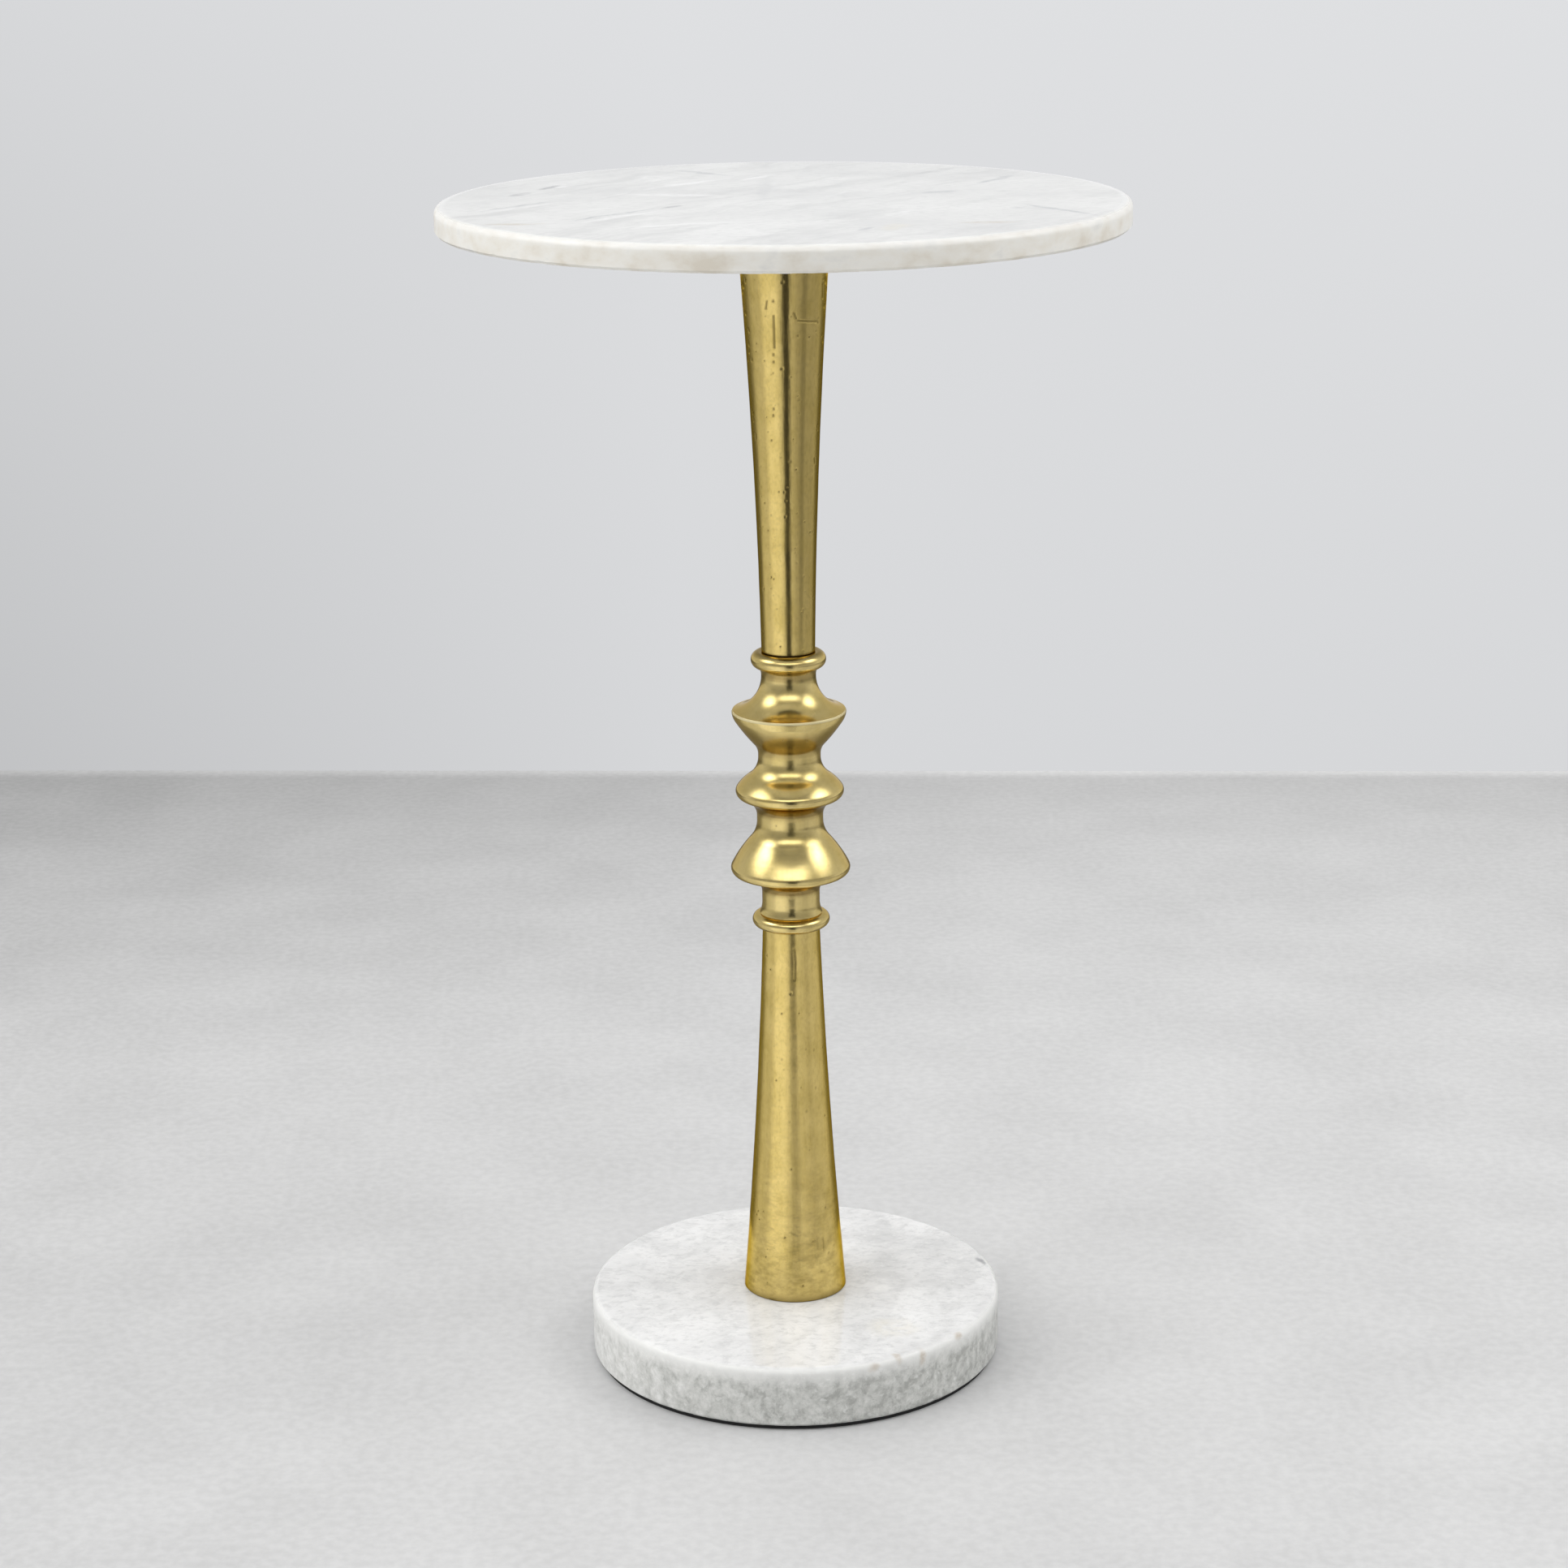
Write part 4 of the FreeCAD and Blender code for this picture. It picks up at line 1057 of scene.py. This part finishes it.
# %% White marble of the top
TOP_MARKS = (
    # middle (x, y), direction, half sizes along and across, strength, colour
    ((-43, 62), 48, (38, 4), 0.95, WHITE_VEIN),
    ((-48, 20), -12, (26, 6), 0.9, WHITE_VEIN),
    ((-115, -15), 50, (32, 2), 0.55, GREY_VEIN),
    ((-111, -19), 50, (30, 4), 0.6, WHITE_VEIN),
    ((-72, -48), 49, (38, 2), 0.55, GREY_VEIN),
    ((-67, -53), 49, (40, 4), 0.85, WHITE_VEIN),
    ((-47, -23), 45, (9, 3), 0.45, DARK_VEIN),
    ((-42, -82), 17, (34, 4.5), 0.95, WHITE_VEIN),
    ((-37, 104), -45, (24, 4), 0.5, GREY_VEIN),
    ((-104, 52), 70, (14, 4), 0.6, DARK_VEIN),
    ((-98, 55), 0, (4, 4), 0.95, WHITE_VEIN),
    ((-115, 28), 60, (11, 4), 0.45, DARK_VEIN),
    ((95, 65), 60, (26, 3), 0.55, GREY_VEIN),
    ((68, 20), 30, (14, 5), 0.45, GREY_VEIN),
    ((115, -45), -54, (32, 3), 0.55, GREY_VEIN),
    ((101, -38), 0, (8, 7), 0.4, GREY_VEIN),
    ((84, -86), 0, (16, 4), 0.6, WARM_VEIN),
    ((45, -97), 80, (15, 8), 0.5, CREAM_PATCH),
    ((-110, -74), 0, (17, 5), 0.55, WARM_VEIN),
    ((47, -53), 58, (18, 3.5), 0.75, WHITE_VEIN),
    ((-12, 82), 62, (18, 3.5), 0.85, WHITE_VEIN),
    ((-8, 40), 88, (60, 5), 0.2, GREY_VEIN),
    ((70, 102), 60, (20, 5), 0.3, DARK_VEIN),
    ((33, -102), 65, (10, 2.5), 0.45, GREY_VEIN),
)
VEIN_LEVEL = 530
VEIN_DEPTH = 40
# Distances from the axis in mm between which the polished face is painted pale as a painted highlight, and
# then to the honed rim.
TOP_EDGE_HIGHLIGHT = (145, 147)
TOP_RIM = (147.2, 149.2)
# The painted highlight on the edge comes in between these places from front to back, and the rim is painted
# lighter between these heights as a painted highlight.
TOP_HIGHLIGHT_BACK = (-60, 60)
TOP_RIM_HIGHLIGHT = (531, 534.5)


def white_marble():
    """White marble, polished: cool clouds in beds, bright streaks, thin veins and a creamy honed rim, with
    painted highlights along the edge and the upper rim.
    """
    material, tree, place = new_material("polished_white_marble")
    bent = bend_coordinates(tree, place, wavelength=34, reach=22)
    clouds = stretched_noise(tree, bent, (58, 58, 30), detail=5.0, roughness=0.55)
    stone = add(tree, "ShaderNodeValToRGB", {"Fac": clouds}, stops=[
        (0.32, colour("#E1E1E0")), (0.5, colour("#ECECEA")), (0.68, colour("#F5F5F3")),
    ])
    grain = stretched_noise(tree, place, (5, 4, 4), detail=5.0, roughness=0.65)
    grained = add(tree, "ShaderNodeMapRange", {"Value": grain, "From": (0.48, 0.72), "To Max": 0.45})
    wisps = beds(tree, bent, (85, 14, 25), low=0.5, high=0.7, strength=0.6)
    bright = beds(tree, bent, (60, 9, 10), low=0.6, high=0.74, strength=0.45)
    for share, tint in ((grained, colour("#D2D2D1")), (wisps, colour("#CFCFCE")), (bright, WHITE_VEIN)):
        stone = add(tree, "ShaderNodeMix", {"Factor": share, "A": stone, "B": tint}, data_type="RGBA")
    through = [
        ((*middle, VEIN_LEVEL), turned, (*half_sizes, VEIN_DEPTH), strength, tint)
        for middle, turned, half_sizes, strength, tint in TOP_MARKS
    ]
    stone = lay_marks(tree, stone, bend_coordinates(tree, place, wavelength=16, reach=8), through)
    blotch = stretched_noise(tree, place, (14, 14, 9), detail=4.0, roughness=0.55)
    rim_stone = add(tree, "ShaderNodeValToRGB", {"Fac": blotch}, stops=[
        (0.3, colour("#E0D9CB")), (0.45, colour("#EDE9DF")),
        (0.6, colour("#F3F1EA")), (0.75, colour("#E6E5E0")),
    ])
    spot = add(tree, "ShaderNodeSeparateXYZ", {"Vector": place})
    # Painted highlight: the upper part of the rim is painted lighter.
    glow = add(tree, "ShaderNodeMapRange", {
        "Value": spot.outputs["Z"], "From": [c * MM for c in TOP_RIM_HIGHLIGHT], "To Max": 0.35,
    }, interpolation_type="SMOOTHSTEP")
    rim_stone = add(tree, "ShaderNodeMix", {
        "Factor": glow, "A": rim_stone, "B": WHITE_VEIN,
    }, data_type="RGBA")
    # Painted highlight: a pale edge, stronger towards the back.
    back = add(tree, "ShaderNodeMapRange", {
        "Value": spot.outputs["Y"], "From": [c * MM for c in TOP_HIGHLIGHT_BACK], "To Min": 0.15,
    })
    painted_edge = rim_share(tree, place, *TOP_EDGE_HIGHLIGHT)
    painted_edge = add(tree, "ShaderNodeMath", {0: painted_edge, 1: back}, operation="MULTIPLY")
    rim = rim_share(tree, place, *TOP_RIM)
    for share, tint in ((painted_edge, WHITE_VEIN), (rim, rim_stone)):
        stone = add(tree, "ShaderNodeMix", {"Factor": share, "A": stone, "B": tint}, data_type="RGBA")
    rough = add(tree, "ShaderNodeMapRange", {"Value": rim, "To": (0.14, 0.34)})
    end_material(tree, {"Base Color": stone, "Roughness": rough})
    return material


WHITE_MARBLE = white_marble()
print(f"White marble with {len(TOP_MARKS)} veins and patches")

# %% Clouded marble of the foot
BASE_MARKS = (
    # middle, direction, half sizes along, across and through, strength, colour
    ((36, -90, 27.6), -20, (6, 3, 4), 0.5, OCHRE_PATCH),
    ((45, -82, 28.6), -28, (4, 3, 3), 0.5, OCHRE_PATCH),
    ((56, -76, 27.6), -36, (7, 3, 4), 0.5, OCHRE_PATCH),
    ((73, -60, 28.6), -50, (4, 3, 4), 0.5, OCHRE_PATCH),
    ((44, -52, 29.6), 0, (16, 14, 6), 0.35, CREAM_PATCH),
    ((40, -9, 29.6), 30, (7, 5, 4), 0.7, WHITE_VEIN),
    ((89, 21, 29.6), -55, (7, 2, 6), 0.6, DARK_VEIN),
)
# Painted shade: the side that faces this way is painted greyest, and the stone greys between these
# distances.
SHADED_QUARTER = (0.75, -0.66, 0)
SHADE_SPAN = (-40, 75)
BASE_RIM = (92.4, 94.4)
# The upper side of the rim is painted lighter between these heights, as a painted highlight.
BASE_ARRIS_HIGHLIGHT = (19.5, 29)


def clouded_marble():
    """Clouded marble, polished: short grey mottles, a painted highlight along the arris, and a greyer honed
    side with painted shade towards one quarter.
    """
    material, tree, place = new_material("polished_clouded_marble")
    bent = bend_coordinates(tree, place, wavelength=20, reach=10)
    clouds = stretched_noise(tree, bent, (30, 30, 20), detail=5.0, roughness=0.55)
    stone = add(tree, "ShaderNodeValToRGB", {"Fac": clouds}, stops=[
        (0.32, colour("#DEDEDE")), (0.5, colour("#EDEDED")), (0.68, colour("#F6F6F6")),
    ])
    mottle = stretched_noise(tree, bent, (5, 3.4, 3.4), detail=6.0, roughness=0.68)
    mottled = add(tree, "ShaderNodeMapRange", {"Value": mottle, "From": (0.48, 0.7), "To Max": 0.5})
    wisps = beds(tree, bent, (34, 8, 12), low=0.5, high=0.72, strength=0.3)
    side = rim_share(tree, place, *BASE_RIM)
    glass = stretched_noise(tree, bent, (4.6, 4.6, 5), detail=5.0, roughness=0.7)
    # Painted shade: one quarter of the stone is painted greyer.
    turned = add(tree, "ShaderNodeVectorMath", {0: place, 1: SHADED_QUARTER}, operation="DOT_PRODUCT")
    painted_side_shade = add(tree, "ShaderNodeMapRange", {
        "Value": turned.outputs["Value"], "From": [c * MM for c in SHADE_SPAN], "To": (0.11, -0.085),
    })
    glass = add(tree, "ShaderNodeMath", {0: glass, 1: painted_side_shade}, operation="ADD")
    side_stone = add(tree, "ShaderNodeValToRGB", {"Fac": glass}, stops=[
        (0.3, colour("#A6A7A2")), (0.45, colour("#C9CAC5")),
        (0.6, colour("#DFDFDB")), (0.72, colour("#F0F0ED")),
    ])
    level = add(tree, "ShaderNodeSeparateXYZ", {"Vector": place})
    # Painted highlight: the upper side is painted lighter.
    glow = add(tree, "ShaderNodeMapRange", {
        "Value": level.outputs["Z"], "From": [c * MM for c in BASE_ARRIS_HIGHLIGHT], "To Max": 0.9,
    }, interpolation_type="SMOOTHSTEP")
    side_stone = add(tree, "ShaderNodeMix", {
        "Factor": glow, "A": side_stone, "B": colour("#F7F7F4"),
    }, data_type="RGBA")
    side_share = add(tree, "ShaderNodeMath", {0: side, 1: 0.9}, operation="MULTIPLY")
    layers = ((mottled, colour("#BCBDBD")), (wisps, colour("#C6C7C6")), (side_share, side_stone))
    for share, tint in layers:
        stone = add(tree, "ShaderNodeMix", {"Factor": share, "A": stone, "B": tint}, data_type="RGBA")
    stone = lay_marks(tree, stone, bent, BASE_MARKS)
    cells = add(tree, "ShaderNodeTexVoronoi", {"Vector": bent, "Scale": per_mm(1.4)})
    sparkle = add(tree, "ShaderNodeSeparateXYZ", {"Vector": cells.outputs["Color"]})
    crystal = add(tree, "ShaderNodeMapRange", {
        "Value": sparkle.outputs["X"], "From": (0.9, 1.0), "To Max": 0.3,
    })
    stone = add(tree, "ShaderNodeMix", {"Factor": crystal, "A": stone, "B": WHITE_VEIN}, data_type="RGBA")
    rough = add(tree, "ShaderNodeMapRange", {"Value": side, "To": (0.1, 0.34)})
    end_material(tree, {"Base Color": stone, "Roughness": rough})
    return material


CLOUDED_MARBLE = clouded_marble()
print(f"Clouded marble with {len(BASE_MARKS)} patches")

# %% [markdown]
# ## The slabs
# Each slab is a disc with a rounded upper arris and a small bevel below. Stone rims wear: crystals break
# out of the arris and leave it a little uneven. The tree sinks points by a noise, only where the surface
# turns from flat to upright, so that the faces stay true.

# %% Worn arris tree
def arris_tree():
    """Small losses along the arrises of a slab, deepest where the surface slopes at 45 degrees."""
    tree, given = new_tree("worn_arris", {"Chip Length": FLOAT, "Chip Depth": FLOAT})
    here = add(tree, "GeometryNodeInputPosition")
    normal = add(tree, "GeometryNodeInputNormal")
    upright = add(tree, "ShaderNodeSeparateXYZ", {"Vector": normal}).outputs["Z"]
    square = add(tree, "ShaderNodeMath", {0: upright, 1: upright}, operation="MULTIPLY")
    rest = add(tree, "ShaderNodeMath", {0: 1.0, 1: square}, operation="SUBTRACT")
    sloping = add(tree, "ShaderNodeMath", {0: square, 1: rest}, operation="MULTIPLY")
    scale = add(tree, "ShaderNodeMath", {0: 1.0, 1: given["Chip Length"]}, operation="DIVIDE")
    noise = add(tree, "ShaderNodeTexNoise", {"Vector": here, "Scale": scale, "Detail": 3.0})
    chip = add(tree, "ShaderNodeMapRange", {
        "Value": noise, "From": (0.45, 0.75),
    }, interpolation_type="SMOOTHSTEP")
    share = add(tree, "ShaderNodeMath", {0: chip, 1: sloping}, operation="MULTIPLY")
    # The slope's product is a quarter at most, and a loss goes inwards.
    loss = add(tree, "ShaderNodeMath", {0: share, 1: -4.0}, operation="MULTIPLY")
    loss = add(tree, "ShaderNodeMath", {0: loss, 1: given["Chip Depth"]}, operation="MULTIPLY")
    offset = add(tree, "ShaderNodeVectorMath", {0: normal, "Scale": loss}, operation="SCALE")
    moved = add(tree, "GeometryNodeSetPosition", {"Geometry": given["Geometry"], "Offset": offset})
    end_tree(tree, moved, given["Material"])
    return tree


WORN_ARRIS = arris_tree()
print("Arris tree inputs:", ", ".join(socket.name for socket in tree_inputs(WORN_ARRIS)))

# %% Grinding the slabs
STONE_STEP = 0.3
SLAB_FACETS = 720
HALF_ROOT = math.sqrt(0.5)
UPPER_EASE = 3.0
LOWER_BEVEL = 1.2
SUPPORT = 0.6


def slab_outline(radius, bottom, top, start, end):
    """Outline of a round slab from start, round the lower bevel and the upper rounding, to end."""
    inset = UPPER_EASE * (1 - HALF_ROOT)
    return walk_outline([
        *start,
        (CORNER, radius - LOWER_BEVEL - SUPPORT, bottom),
        (CORNER, radius - LOWER_BEVEL, bottom),
        (FINE, radius, bottom + LOWER_BEVEL),
        (CORNER, radius, bottom + LOWER_BEVEL + SUPPORT),
        (CORNER, radius, top - UPPER_EASE - SUPPORT),
        (CORNER, radius, top - UPPER_EASE),
        (BEND, radius - inset, top - inset),
        (CORNER, radius - UPPER_EASE, top),
        (CORNER, radius - UPPER_EASE - SUPPORT, top),
        *end,
    ], STONE_STEP)


BASE_BOTTOM = 2.0
RECESS_TOP = 16.8
RECESS = 23.0
STONE_HOLE = 6.0
TOP_BOTTOM = 524.3
TOP_FACE = 535.5
TOP_RADIUS = 150
BASE_RADIUS = 95
under = [(CORNER, 0, TOP_BOTTOM)]
above = [(CORNER, 0, TOP_FACE)]
top_outline = slab_outline(TOP_RADIUS, TOP_BOTTOM, TOP_FACE, under, above)
recess = [(CORNER, RECESS, RECESS_TOP), (CORNER, RECESS, BASE_BOTTOM)]
hole = [(CORNER, STONE_HOLE, BASE_TOP), (CORNER, STONE_HOLE, RECESS_TOP), (CORNER, RECESS, RECESS_TOP)]
base_outline = slab_outline(BASE_RADIUS, BASE_BOTTOM, BASE_TOP, recess, hole)
for name, outline, stone, node, slot in (
    ("marble_top_slab", top_outline, WHITE_MARBLE, "marble_top", "white_marble"),
    ("marble_base_slab", base_outline, CLOUDED_MARBLE, "marble_base", "clouded_marble"),
):
    slab = turn(name, outline, SLAB_FACETS, stone)
    apply_tree(slab, WORN_ARRIS, chip_length=5 * MM, chip_depth=0.3 * MM, material=stone)
    freeze(slab)
    hand_over(slab, node)

# %% [markdown]
# ## What holds the table together
# A threaded rod runs through the hollow column, from a nut in the foot's recess to a steel plate under the
# top. None of it shows from above, but it does from below. The thread is a helix: at each height and angle
# the radius follows one wave per pitch. It could be swept, but a turned bar whose skin follows that wave
# stays one closed mesh. The nut is a turned blank with six flats milled on it.

# %% Thread tree and flats tree
def polar(tree, here):
    """Angle of a place round the axis, its distance from it and the level direction away from it."""
    spot = add(tree, "ShaderNodeSeparateXYZ", {"Vector": here})
    angle = add(tree, "ShaderNodeMath", {0: spot.outputs["Y"], 1: spot.outputs["X"]}, operation="ARCTAN2")
    flat = add(tree, "ShaderNodeVectorMath", {0: here, 1: (1, 1, 0)}, operation="MULTIPLY")
    reach = add(tree, "ShaderNodeVectorMath", {0: flat}, operation="LENGTH")
    outward = add(tree, "ShaderNodeVectorMath", {0: flat}, operation="NORMALIZE")
    return angle, reach.outputs["Value"], outward


def sink(tree, geometry, outward, depth):
    """Move points towards the axis by a depth."""
    inward = add(tree, "ShaderNodeMath", {0: depth, 1: -1.0}, operation="MULTIPLY")
    offset = add(tree, "ShaderNodeVectorMath", {0: outward, "Scale": inward}, operation="SCALE")
    return add(tree, "GeometryNodeSetPosition", {"Geometry": geometry, "Offset": offset})


def thread_tree():
    """A helical groove near both ends of an upright bar, running out towards its plain middle."""
    tree, given = new_tree("cut_thread", {
        "Pitch": FLOAT, "Depth": FLOAT, "Lower End": FLOAT, "Upper Start": FLOAT, "Run Out": FLOAT,
    })
    here = add(tree, "GeometryNodeInputPosition")
    height = add(tree, "ShaderNodeSeparateXYZ", {"Vector": here}).outputs["Z"]
    angle, reach, outward = polar(tree, here)
    turns = add(tree, "ShaderNodeMath", {0: height, 1: given["Pitch"]}, operation="DIVIDE")
    part = add(tree, "ShaderNodeMath", {0: angle, 1: math.tau}, operation="DIVIDE")
    phase = add(tree, "ShaderNodeMath", {0: turns, 1: part}, operation="SUBTRACT")
    wave = add(tree, "ShaderNodeMath", {0: phase, 1: 0.5}, operation="PINGPONG")
    ends = []
    for start, direction in ((given["Lower End"], "SUBTRACT"), (given["Upper Start"], "ADD")):
        full = add(tree, "ShaderNodeMath", {0: start, 1: given["Run Out"]}, operation=direction)
        ends.append(add(tree, "ShaderNodeMapRange", {"Value": height, "From": (start, full)}))
    share = add(tree, "ShaderNodeMath", {0: ends[0], 1: ends[1]}, operation="MAXIMUM")
    doubled = add(tree, "ShaderNodeMath", {0: wave, 1: 2.0}, operation="MULTIPLY")
    groove = add(tree, "ShaderNodeMath", {0: doubled, 1: share}, operation="MULTIPLY")
    depth = add(tree, "ShaderNodeMath", {0: groove, 1: given["Depth"]}, operation="MULTIPLY")
    spared = add(tree, "ShaderNodeMath", {0: reach, 1: depth}, operation="MINIMUM")
    end_tree(tree, sink(tree, given["Geometry"], outward, spared), given["Material"])
    return tree


def flats_tree():
    """Six flats at a distance from the axis, with corners on the x axis."""
    tree, given = new_tree("mill_flats", {"Flat Distance": FLOAT})
    angle, reach, outward = polar(tree, add(tree, "GeometryNodeInputPosition"))
    sixth = math.tau / 6
    place = add(tree, "ShaderNodeMath", {0: angle, 1: sixth}, operation="FLOORED_MODULO")
    swing = add(tree, "ShaderNodeMath", {0: place, 1: sixth / 2}, operation="SUBTRACT")
    lean = add(tree, "ShaderNodeMath", {0: swing}, operation="COSINE")
    limit = add(tree, "ShaderNodeMath", {0: given["Flat Distance"], 1: lean}, operation="DIVIDE")
    over = add(tree, "ShaderNodeMath", {0: reach, 1: limit}, operation="SUBTRACT")
    cut = add(tree, "ShaderNodeMath", {0: over, 1: 0.0}, operation="MAXIMUM")
    end_tree(tree, sink(tree, given["Geometry"], outward, cut), given["Material"])
    return tree


THREAD = thread_tree()
FLATS = flats_tree()
print(f"Thread tree of {len(THREAD.nodes)} nodes, flats tree of {len(FLATS.nodes)}")


# %% Steel and rubber
def zinc_steel():
    """Bright zinc on steel: crystals of slightly different grey, drawn as coarse as they need to show, with
    the blue cast of passivation."""
    material, tree, place = new_material("zinc_plated_steel")
    crystals = add(tree, "ShaderNodeTexVoronoi", {"Vector": place, "Scale": per_mm(2.2)})
    tone = add(tree, "ShaderNodeSeparateXYZ", {"Vector": crystals.outputs["Color"]})
    smear = stretched_noise(tree, place, (12, 12, 6), detail=4.0)
    shade = add(tree, "ShaderNodeMath", {0: tone.outputs["X"], 1: 0.4, 2: smear}, operation="MULTIPLY_ADD")
    metal = add(tree, "ShaderNodeValToRGB", {"Fac": shade}, stops=[
        (0.35, colour("#B3B7BC")), (0.65, colour("#C7CACD")), (0.95, colour("#D3D3CD")),
    ])
    rough = add(tree, "ShaderNodeMapRange", {"Value": smear, "To": (0.24, 0.46)})
    end_material(tree, {"Base Color": metal, "Metallic": 1.0, "Roughness": rough})
    return material


def rough_black(name, light, dark, rough, grain_size, grain_height):
    """A black skin with a grain: two near blacks, and a relief that breaks the shine."""
    material, tree, place = new_material(name)
    grain = add(tree, "ShaderNodeTexNoise", {"Vector": place, "Scale": per_mm(grain_size), "Detail": 3.0})
    tint = add(tree, "ShaderNodeMix", {
        "Factor": grain, "A": colour(dark), "B": colour(light),
    }, data_type="RGBA")
    bump = add(tree, "ShaderNodeBump", {"Height": grain, "Distance": grain_height * MM})
    end_material(tree, {"Base Color": tint, "Roughness": rough, "Normal": bump})
    return material


ZINC_STEEL = zinc_steel()
# Powder coating melts to a skin with the slow dimples of an orange peel.
BLACK_STEEL = rough_black(
    "black_powder_coat", light="#262626", dark="#141414", rough=0.42, grain_size=1.6, grain_height=0.05,
)
# Moulded rubber is duller and greyer, with a fine even grain.
PAD_RUBBER = rough_black(
    "matt_black_rubber", light="#232323", dark="#121212", rough=0.82, grain_size=0.7, grain_height=0.03,
)
FINISHES = {
    "top_plate": BLACK_STEEL, "top_boss": ZINC_STEEL, "foot_disc": ZINC_STEEL, "base_washer": ZINC_STEEL,
    "spring_washer": ZINC_STEEL, "base_pad": PAD_RUBBER,
}
for node, finish in FINISHES.items():
    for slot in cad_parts[node].material_slots:
        slot.material = finish
    print(f"{node}: {finish.name} in {len(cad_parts[node].material_slots)} slot")

# %% Rod and nut
ROD_LOW, ROD_HIGH = 3.5, 519.3
ROD_RADIUS = 4.0
ROD_CHAMFER = 0.8
THREAD_PITCH = 1.25
THREAD_DEPTH = 0.6
THREAD_RUN_OUT = 3.0
LOWER_THREAD, UPPER_THREAD = 40.0, 494.0
THREAD_STEP = 0.16
ROD_FACETS = 32
rod_outline = walk_outline([
    (CORNER, 0, ROD_LOW),
    (CORNER, ROD_RADIUS - ROD_CHAMFER, ROD_LOW),
    (CORNER, ROD_RADIUS, ROD_LOW + ROD_CHAMFER),
    (FINE, ROD_RADIUS, LOWER_THREAD),
    (CORNER, ROD_RADIUS, UPPER_THREAD),
    (FINE, ROD_RADIUS, ROD_HIGH - ROD_CHAMFER),
    (CORNER, ROD_RADIUS - ROD_CHAMFER, ROD_HIGH),
    (CORNER, 0, ROD_HIGH),
], THREAD_STEP)
rod = turn("tie_rod_threaded", rod_outline, ROD_FACETS, ZINC_STEEL)
apply_tree(
    rod, THREAD, pitch=THREAD_PITCH * MM, depth=THREAD_DEPTH * MM, lower_end=LOWER_THREAD * MM,
    upper_start=UPPER_THREAD * MM, run_out=THREAD_RUN_OUT * MM, material=ZINC_STEEL,
)
freeze(rod)
hand_over(rod, "tie_rod")

NUT_LOW, NUT_HIGH = 5.5, 12.3
NUT_BORE = 4.1
NUT_FLAT = 6.5
NUT_CORNER = NUT_FLAT / math.cos(math.pi / 6)
NUT_CHAMFER = (NUT_CORNER - NUT_FLAT) * math.tan(math.pi / 6)
NUT_FACETS = 96
nut_outline = walk_outline([
    (CORNER, NUT_BORE, NUT_LOW),
    (CORNER, NUT_FLAT, NUT_LOW),
    (FINE, NUT_CORNER, NUT_LOW + NUT_CHAMFER),
    (CORNER, NUT_CORNER, NUT_HIGH - NUT_CHAMFER),
    (FINE, NUT_FLAT, NUT_HIGH),
    (CORNER, NUT_BORE, NUT_HIGH),
    (CORNER, NUT_BORE, NUT_LOW),
], THREAD_STEP)
nut = turn("base_nut_hexagon", nut_outline, NUT_FACETS, ZINC_STEEL)
apply_tree(nut, FLATS, flat_distance=NUT_FLAT * MM, material=ZINC_STEEL)
freeze(nut)
hand_over(nut, "base_nut")

# %% [markdown]
# ## Handing over
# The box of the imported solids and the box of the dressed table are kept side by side.

# %% Sizes and finish
low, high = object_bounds()
